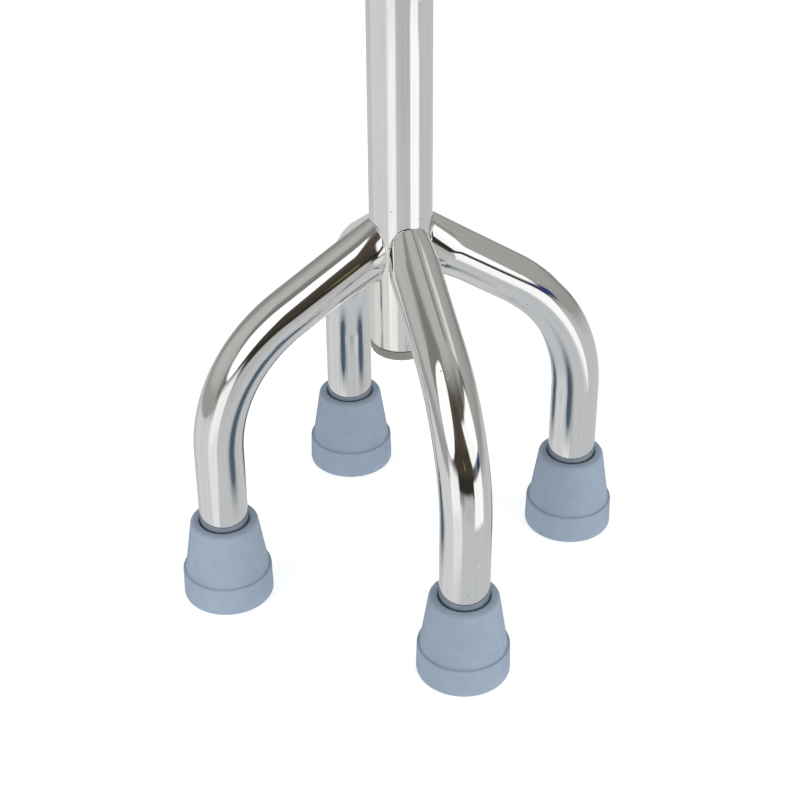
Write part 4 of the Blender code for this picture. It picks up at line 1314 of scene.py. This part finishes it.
class CANE_OT_studio(Operator):
    """Make the floor, the light and the camera"""

    bl_idname = "cane.studio"
    bl_label = "Studio"

    def floor(self, studio):
        """A wide pale floor."""
        reach = studio.floor_reach
        mesh = bpy.data.meshes.new("floor")
        corners = [(-reach, -reach, 0), (reach, -reach, 0), (reach, reach, 0), (-reach, reach, 0)]
        mesh.from_pydata(corners, [], [(0, 1, 2, 3)])
        material, nodes, shader = new_material("pale_floor", studio.floor, 0.0, 0.9)
        feed(shader.inputs["Specular IOR Level"], FLOOR_SPECULAR)
        feed(shader.inputs["Emission Color"], WHITE)
        feed(shader.inputs["Emission Strength"], studio.floor_glow)
        feed(shader.inputs["Roughness"], nodes.spread(nodes.noise(nodes.own_place(), 300.0), 0.86, 0.94))
        floor = stand("floor", mesh, material)
        floor.visible_glossy = False

    def room(self, studio):
        """The room round the cane by direction, three softboxes for its light, and a pale backdrop."""
        world = bpy.data.worlds.new("studio")
        bpy.context.scene.world = world
        world.use_nodes = True
        nodes = Nodes(world.node_tree)
        inputs = {"Vector": nodes.add("TexCoord").outputs["Generated"], "Angle": -studio.turn}
        direction = nodes.add("VectorRotate", inputs, rotation_type="Z_AXIS").outputs["Vector"]
        azimuth, height = azimuth_and_height(nodes, direction)
        ramp = nodes.add("ValToRGB", {"Fac": nodes.spread(height, 0.0, 1.0, -90.0, 90.0)})
        stops = ramp.color_ramp.elements
        stops.remove(stops[-1])
        for index, (degrees, tone) in enumerate(ROOM):
            place = (degrees + 90) / 180
            stop = stops.new(place) if index else stops[0]
            stop.position = place
            stop.color = (*tone, 1.0)
        mirrored = cards_over(nodes, ramp.outputs["Color"], azimuth, height, FAR_CARDS)
        lighting = cards_over(nodes, mirrored, azimuth, height, SOFTBOXES)
        rays = nodes.add("LightPath").outputs
        seen = nodes.blend(rays["Is Glossy Ray"], lighting, mirrored)
        seen = nodes.blend(rays["Is Camera Ray"], seen, studio.backdrop)
        feed(world.node_tree.nodes["Background"].inputs["Color"], seen)

    def mirrored_only(self, name, mesh, surface):
        """Stands a piece in the chrome's mirror images alone, with the surface that a function gives it."""
        material = bpy.data.materials.new(name)
        material.use_nodes = True
        material.cycles.emission_sampling = "NONE"
        tree = material.node_tree
        tree.nodes.remove(tree.nodes["Principled BSDF"])
        feed(tree.nodes["Material Output"].inputs["Surface"], surface(Nodes(tree)))
        piece = stand(name, mesh, material)
        piece.visible_camera = False
        piece.visible_diffuse = False
        piece.visible_transmission = False
        piece.visible_shadow = False
        return piece

    def panels(self, studio):
        """The panels that stand close to the cane, as the chrome mirrors them."""
        mesh = bpy.data.meshes.new("panels")
        shape = bmesh.new()
        bmesh.ops.create_uvsphere(shape, u_segments=PANEL_SIDES, v_segments=PANEL_SIDES // 2, radius=1.0)
        reach = studio.panel_reach
        bmesh.ops.scale(shape, vec=(reach, reach, studio.panel_height), verts=shape.verts)
        shape.to_mesh(mesh)
        shape.free()

        def surface(nodes):
            azimuth, height = azimuth_and_height(nodes, nodes.own_place())
            tone, clear = BLACK, WHITE
            for card in PANELS:
                share = card_share(nodes, azimuth, height, card)
                tone = nodes.blend(share, tone, card[-1], card[0])
                clear = nodes.blend(share, clear, BLACK)
            glow = nodes.add("Emission", {"Color": tone}).outputs["Emission"]
            opening = nodes.add("BsdfTransparent", {"Color": clear}).outputs["BSDF"]
            return nodes.add("AddShader", {0: glow, 1: opening}).outputs["Shader"]

        middle = Matrix.Translation((studio.panel_right, -studio.panel_front, studio.panel_middle))
        panels = self.mirrored_only("panels", mesh, surface)
        panels.matrix_world = Matrix.Rotation(studio.turn, 4, "Z") @ middle

    def foot_shade(self, studio, sizes, pitch):
        """The shade on and round each foot, as the chrome mirrors it."""
        rim = sizes.bore + sizes.rim_wall
        waist = rim + sizes.taper
        outline = [
            (rim + SHADE_STAND, sizes.height - SHADE_LIFT),
            (waist + SHADE_STAND, sizes.collar + SHADE_LIFT),
            (waist + SHADE_LEDGE, sizes.collar),
            (waist + SHADE_FOOT, SHADE_LIFT),
            (studio.shade_reach, SHADE_LIFT),
        ]
        skin = Skin()
        for place in feet(pitch).values():
            skin.lathe(outline, SHADE_SIDES, centre=place)

        def surface(nodes):
            squares = []
            for part in nodes.parts(nodes.own_place())[:2]:
                aside = nodes.calculate("SUBTRACT", nodes.calculate("ABSOLUTE", part), pitch / 2)
                squares.append(nodes.calculate("MULTIPLY", aside, aside))
            near = nodes.calculate("SQRT", nodes.calculate("ADD", *squares))
            fade = nodes.spread(near, 1.0, 0.0, waist + SHADE_FOOT, studio.shade_reach)
            share = nodes.calculate("MULTIPLY", nodes.calculate("MULTIPLY", fade, fade), studio.shade_depth)
            shade = nodes.add("Emission", {"Color": studio.shade}).outputs["Emission"]
            opening = nodes.add("BsdfTransparent").outputs["BSDF"]
            return nodes.add("MixShader", {0: share, 1: opening, 2: shade}).outputs["Shader"]

        self.mirrored_only("foot_shade", skin.mesh("foot_shade"), surface)

    def lamp(self, studio, pitch):
        """A small soft lamp near the left foot, which the chrome doesn't mirror."""
        side = studio.turn - LAMP_SIDE
        direction = Vector((math.sin(side), -math.cos(side), LAMP_RISE)).normalized()
        data = bpy.data.lights.new("lamp", "AREA")
        data.shape = "DISK"
        data.size = studio.lamp_distance * LAMP_WIDTH
        data.energy = studio.lamp
        place = Vector((-pitch / 2, -pitch / 2, LAMP_AIM)) + direction * studio.lamp_distance
        lamp = bpy.data.objects.new("lamp", data)
        turn = direction.to_track_quat("Z", "Y").to_matrix().to_4x4()
        lamp.matrix_world = Matrix.Translation(place) @ turn
        bpy.context.scene.collection.objects.link(lamp)
        lamp.visible_camera = False
        lamp.visible_glossy = False

    def camera(self, studio):
        """The camera, turned round its aim to the photograph's angle."""
        data = bpy.data.cameras.new("camera")
        data.lens = studio.lens
        data.sensor_width = studio.sensor
        data.clip_start = NEAR_CLIP
        aim = Matrix.Translation((studio.aim_side, 0, studio.aim_height))
        tilt = Matrix.Rotation(QUARTER - studio.rise, 4, "X") @ Matrix.Rotation(studio.roll, 4, "Z")
        back = Matrix.Translation(UP * studio.distance)
        camera = bpy.data.objects.new("camera", data)
        camera.matrix_world = Matrix.Rotation(studio.turn, 4, "Z") @ aim @ tilt @ back
        bpy.context.scene.collection.objects.link(camera)
        bpy.context.scene.camera = camera

    def execute(self, context):
        studio = context.scene.cane_studio
        pitch = context.scene.cane_legs.foot_pitch
        self.floor(studio)
        self.room(studio)
        self.panels(studio)
        self.foot_shade(studio, context.scene.cane_ferrules, pitch)
        self.lamp(studio, pitch)
        self.camera(studio)
        context.scene.view_settings.view_transform = "Standard"
        return {"FINISHED"}


STEPS = (
    CANE_OT_studio,
    CANE_OT_column,
    CANE_OT_column_fittings,
    CANE_OT_legs,
    CANE_OT_ferrules,
    CANE_OT_handle_shaft,
    CANE_OT_snap_button,
    CANE_OT_button_spring,
    CANE_OT_grip,
    CANE_OT_inner_fittings,
)


class CANE_PT_panel(Panel):
    """The cane's sizes, finishes and making steps"""

    bl_idname = "CANE_PT_panel"
    bl_label = "Quad Cane"
    bl_space_type = "VIEW_3D"
    bl_region_type = "UI"
    bl_category = "Quad Cane"

    def draw(self, context):
        layout = self.layout
        for step in STEPS:
            layout.operator(step.bl_idname)
        for name in SETTINGS:
            box = layout.box()
            group = getattr(context.scene, name)
            box.label(text=type(group).__name__)
            for entry in group.bl_rna.properties:
                if entry.identifier not in ("rna_type", "name"):
                    box.prop(group, entry.identifier)


CLASSES = (*SETTINGS.values(), *STEPS, CANE_PT_panel)


def register():
    """Registers the classes and hangs the settings on the scene."""
    for each in CLASSES:
        bpy.utils.register_class(each)
    for name, group in SETTINGS.items():
        setattr(bpy.types.Scene, name, PointerProperty(type=group))


def unregister():
    """Takes the settings and classes away again."""
    for name in SETTINGS:
        delattr(bpy.types.Scene, name)
    for each in reversed(CLASSES):
        bpy.utils.unregister_class(each)


def main():
    """Makes every piece in turn."""
    register()
    for step in STEPS:
        group, name = step.bl_idname.split(".")
        getattr(getattr(bpy.ops, group), name)()


if __name__ == "__main__":
    main()
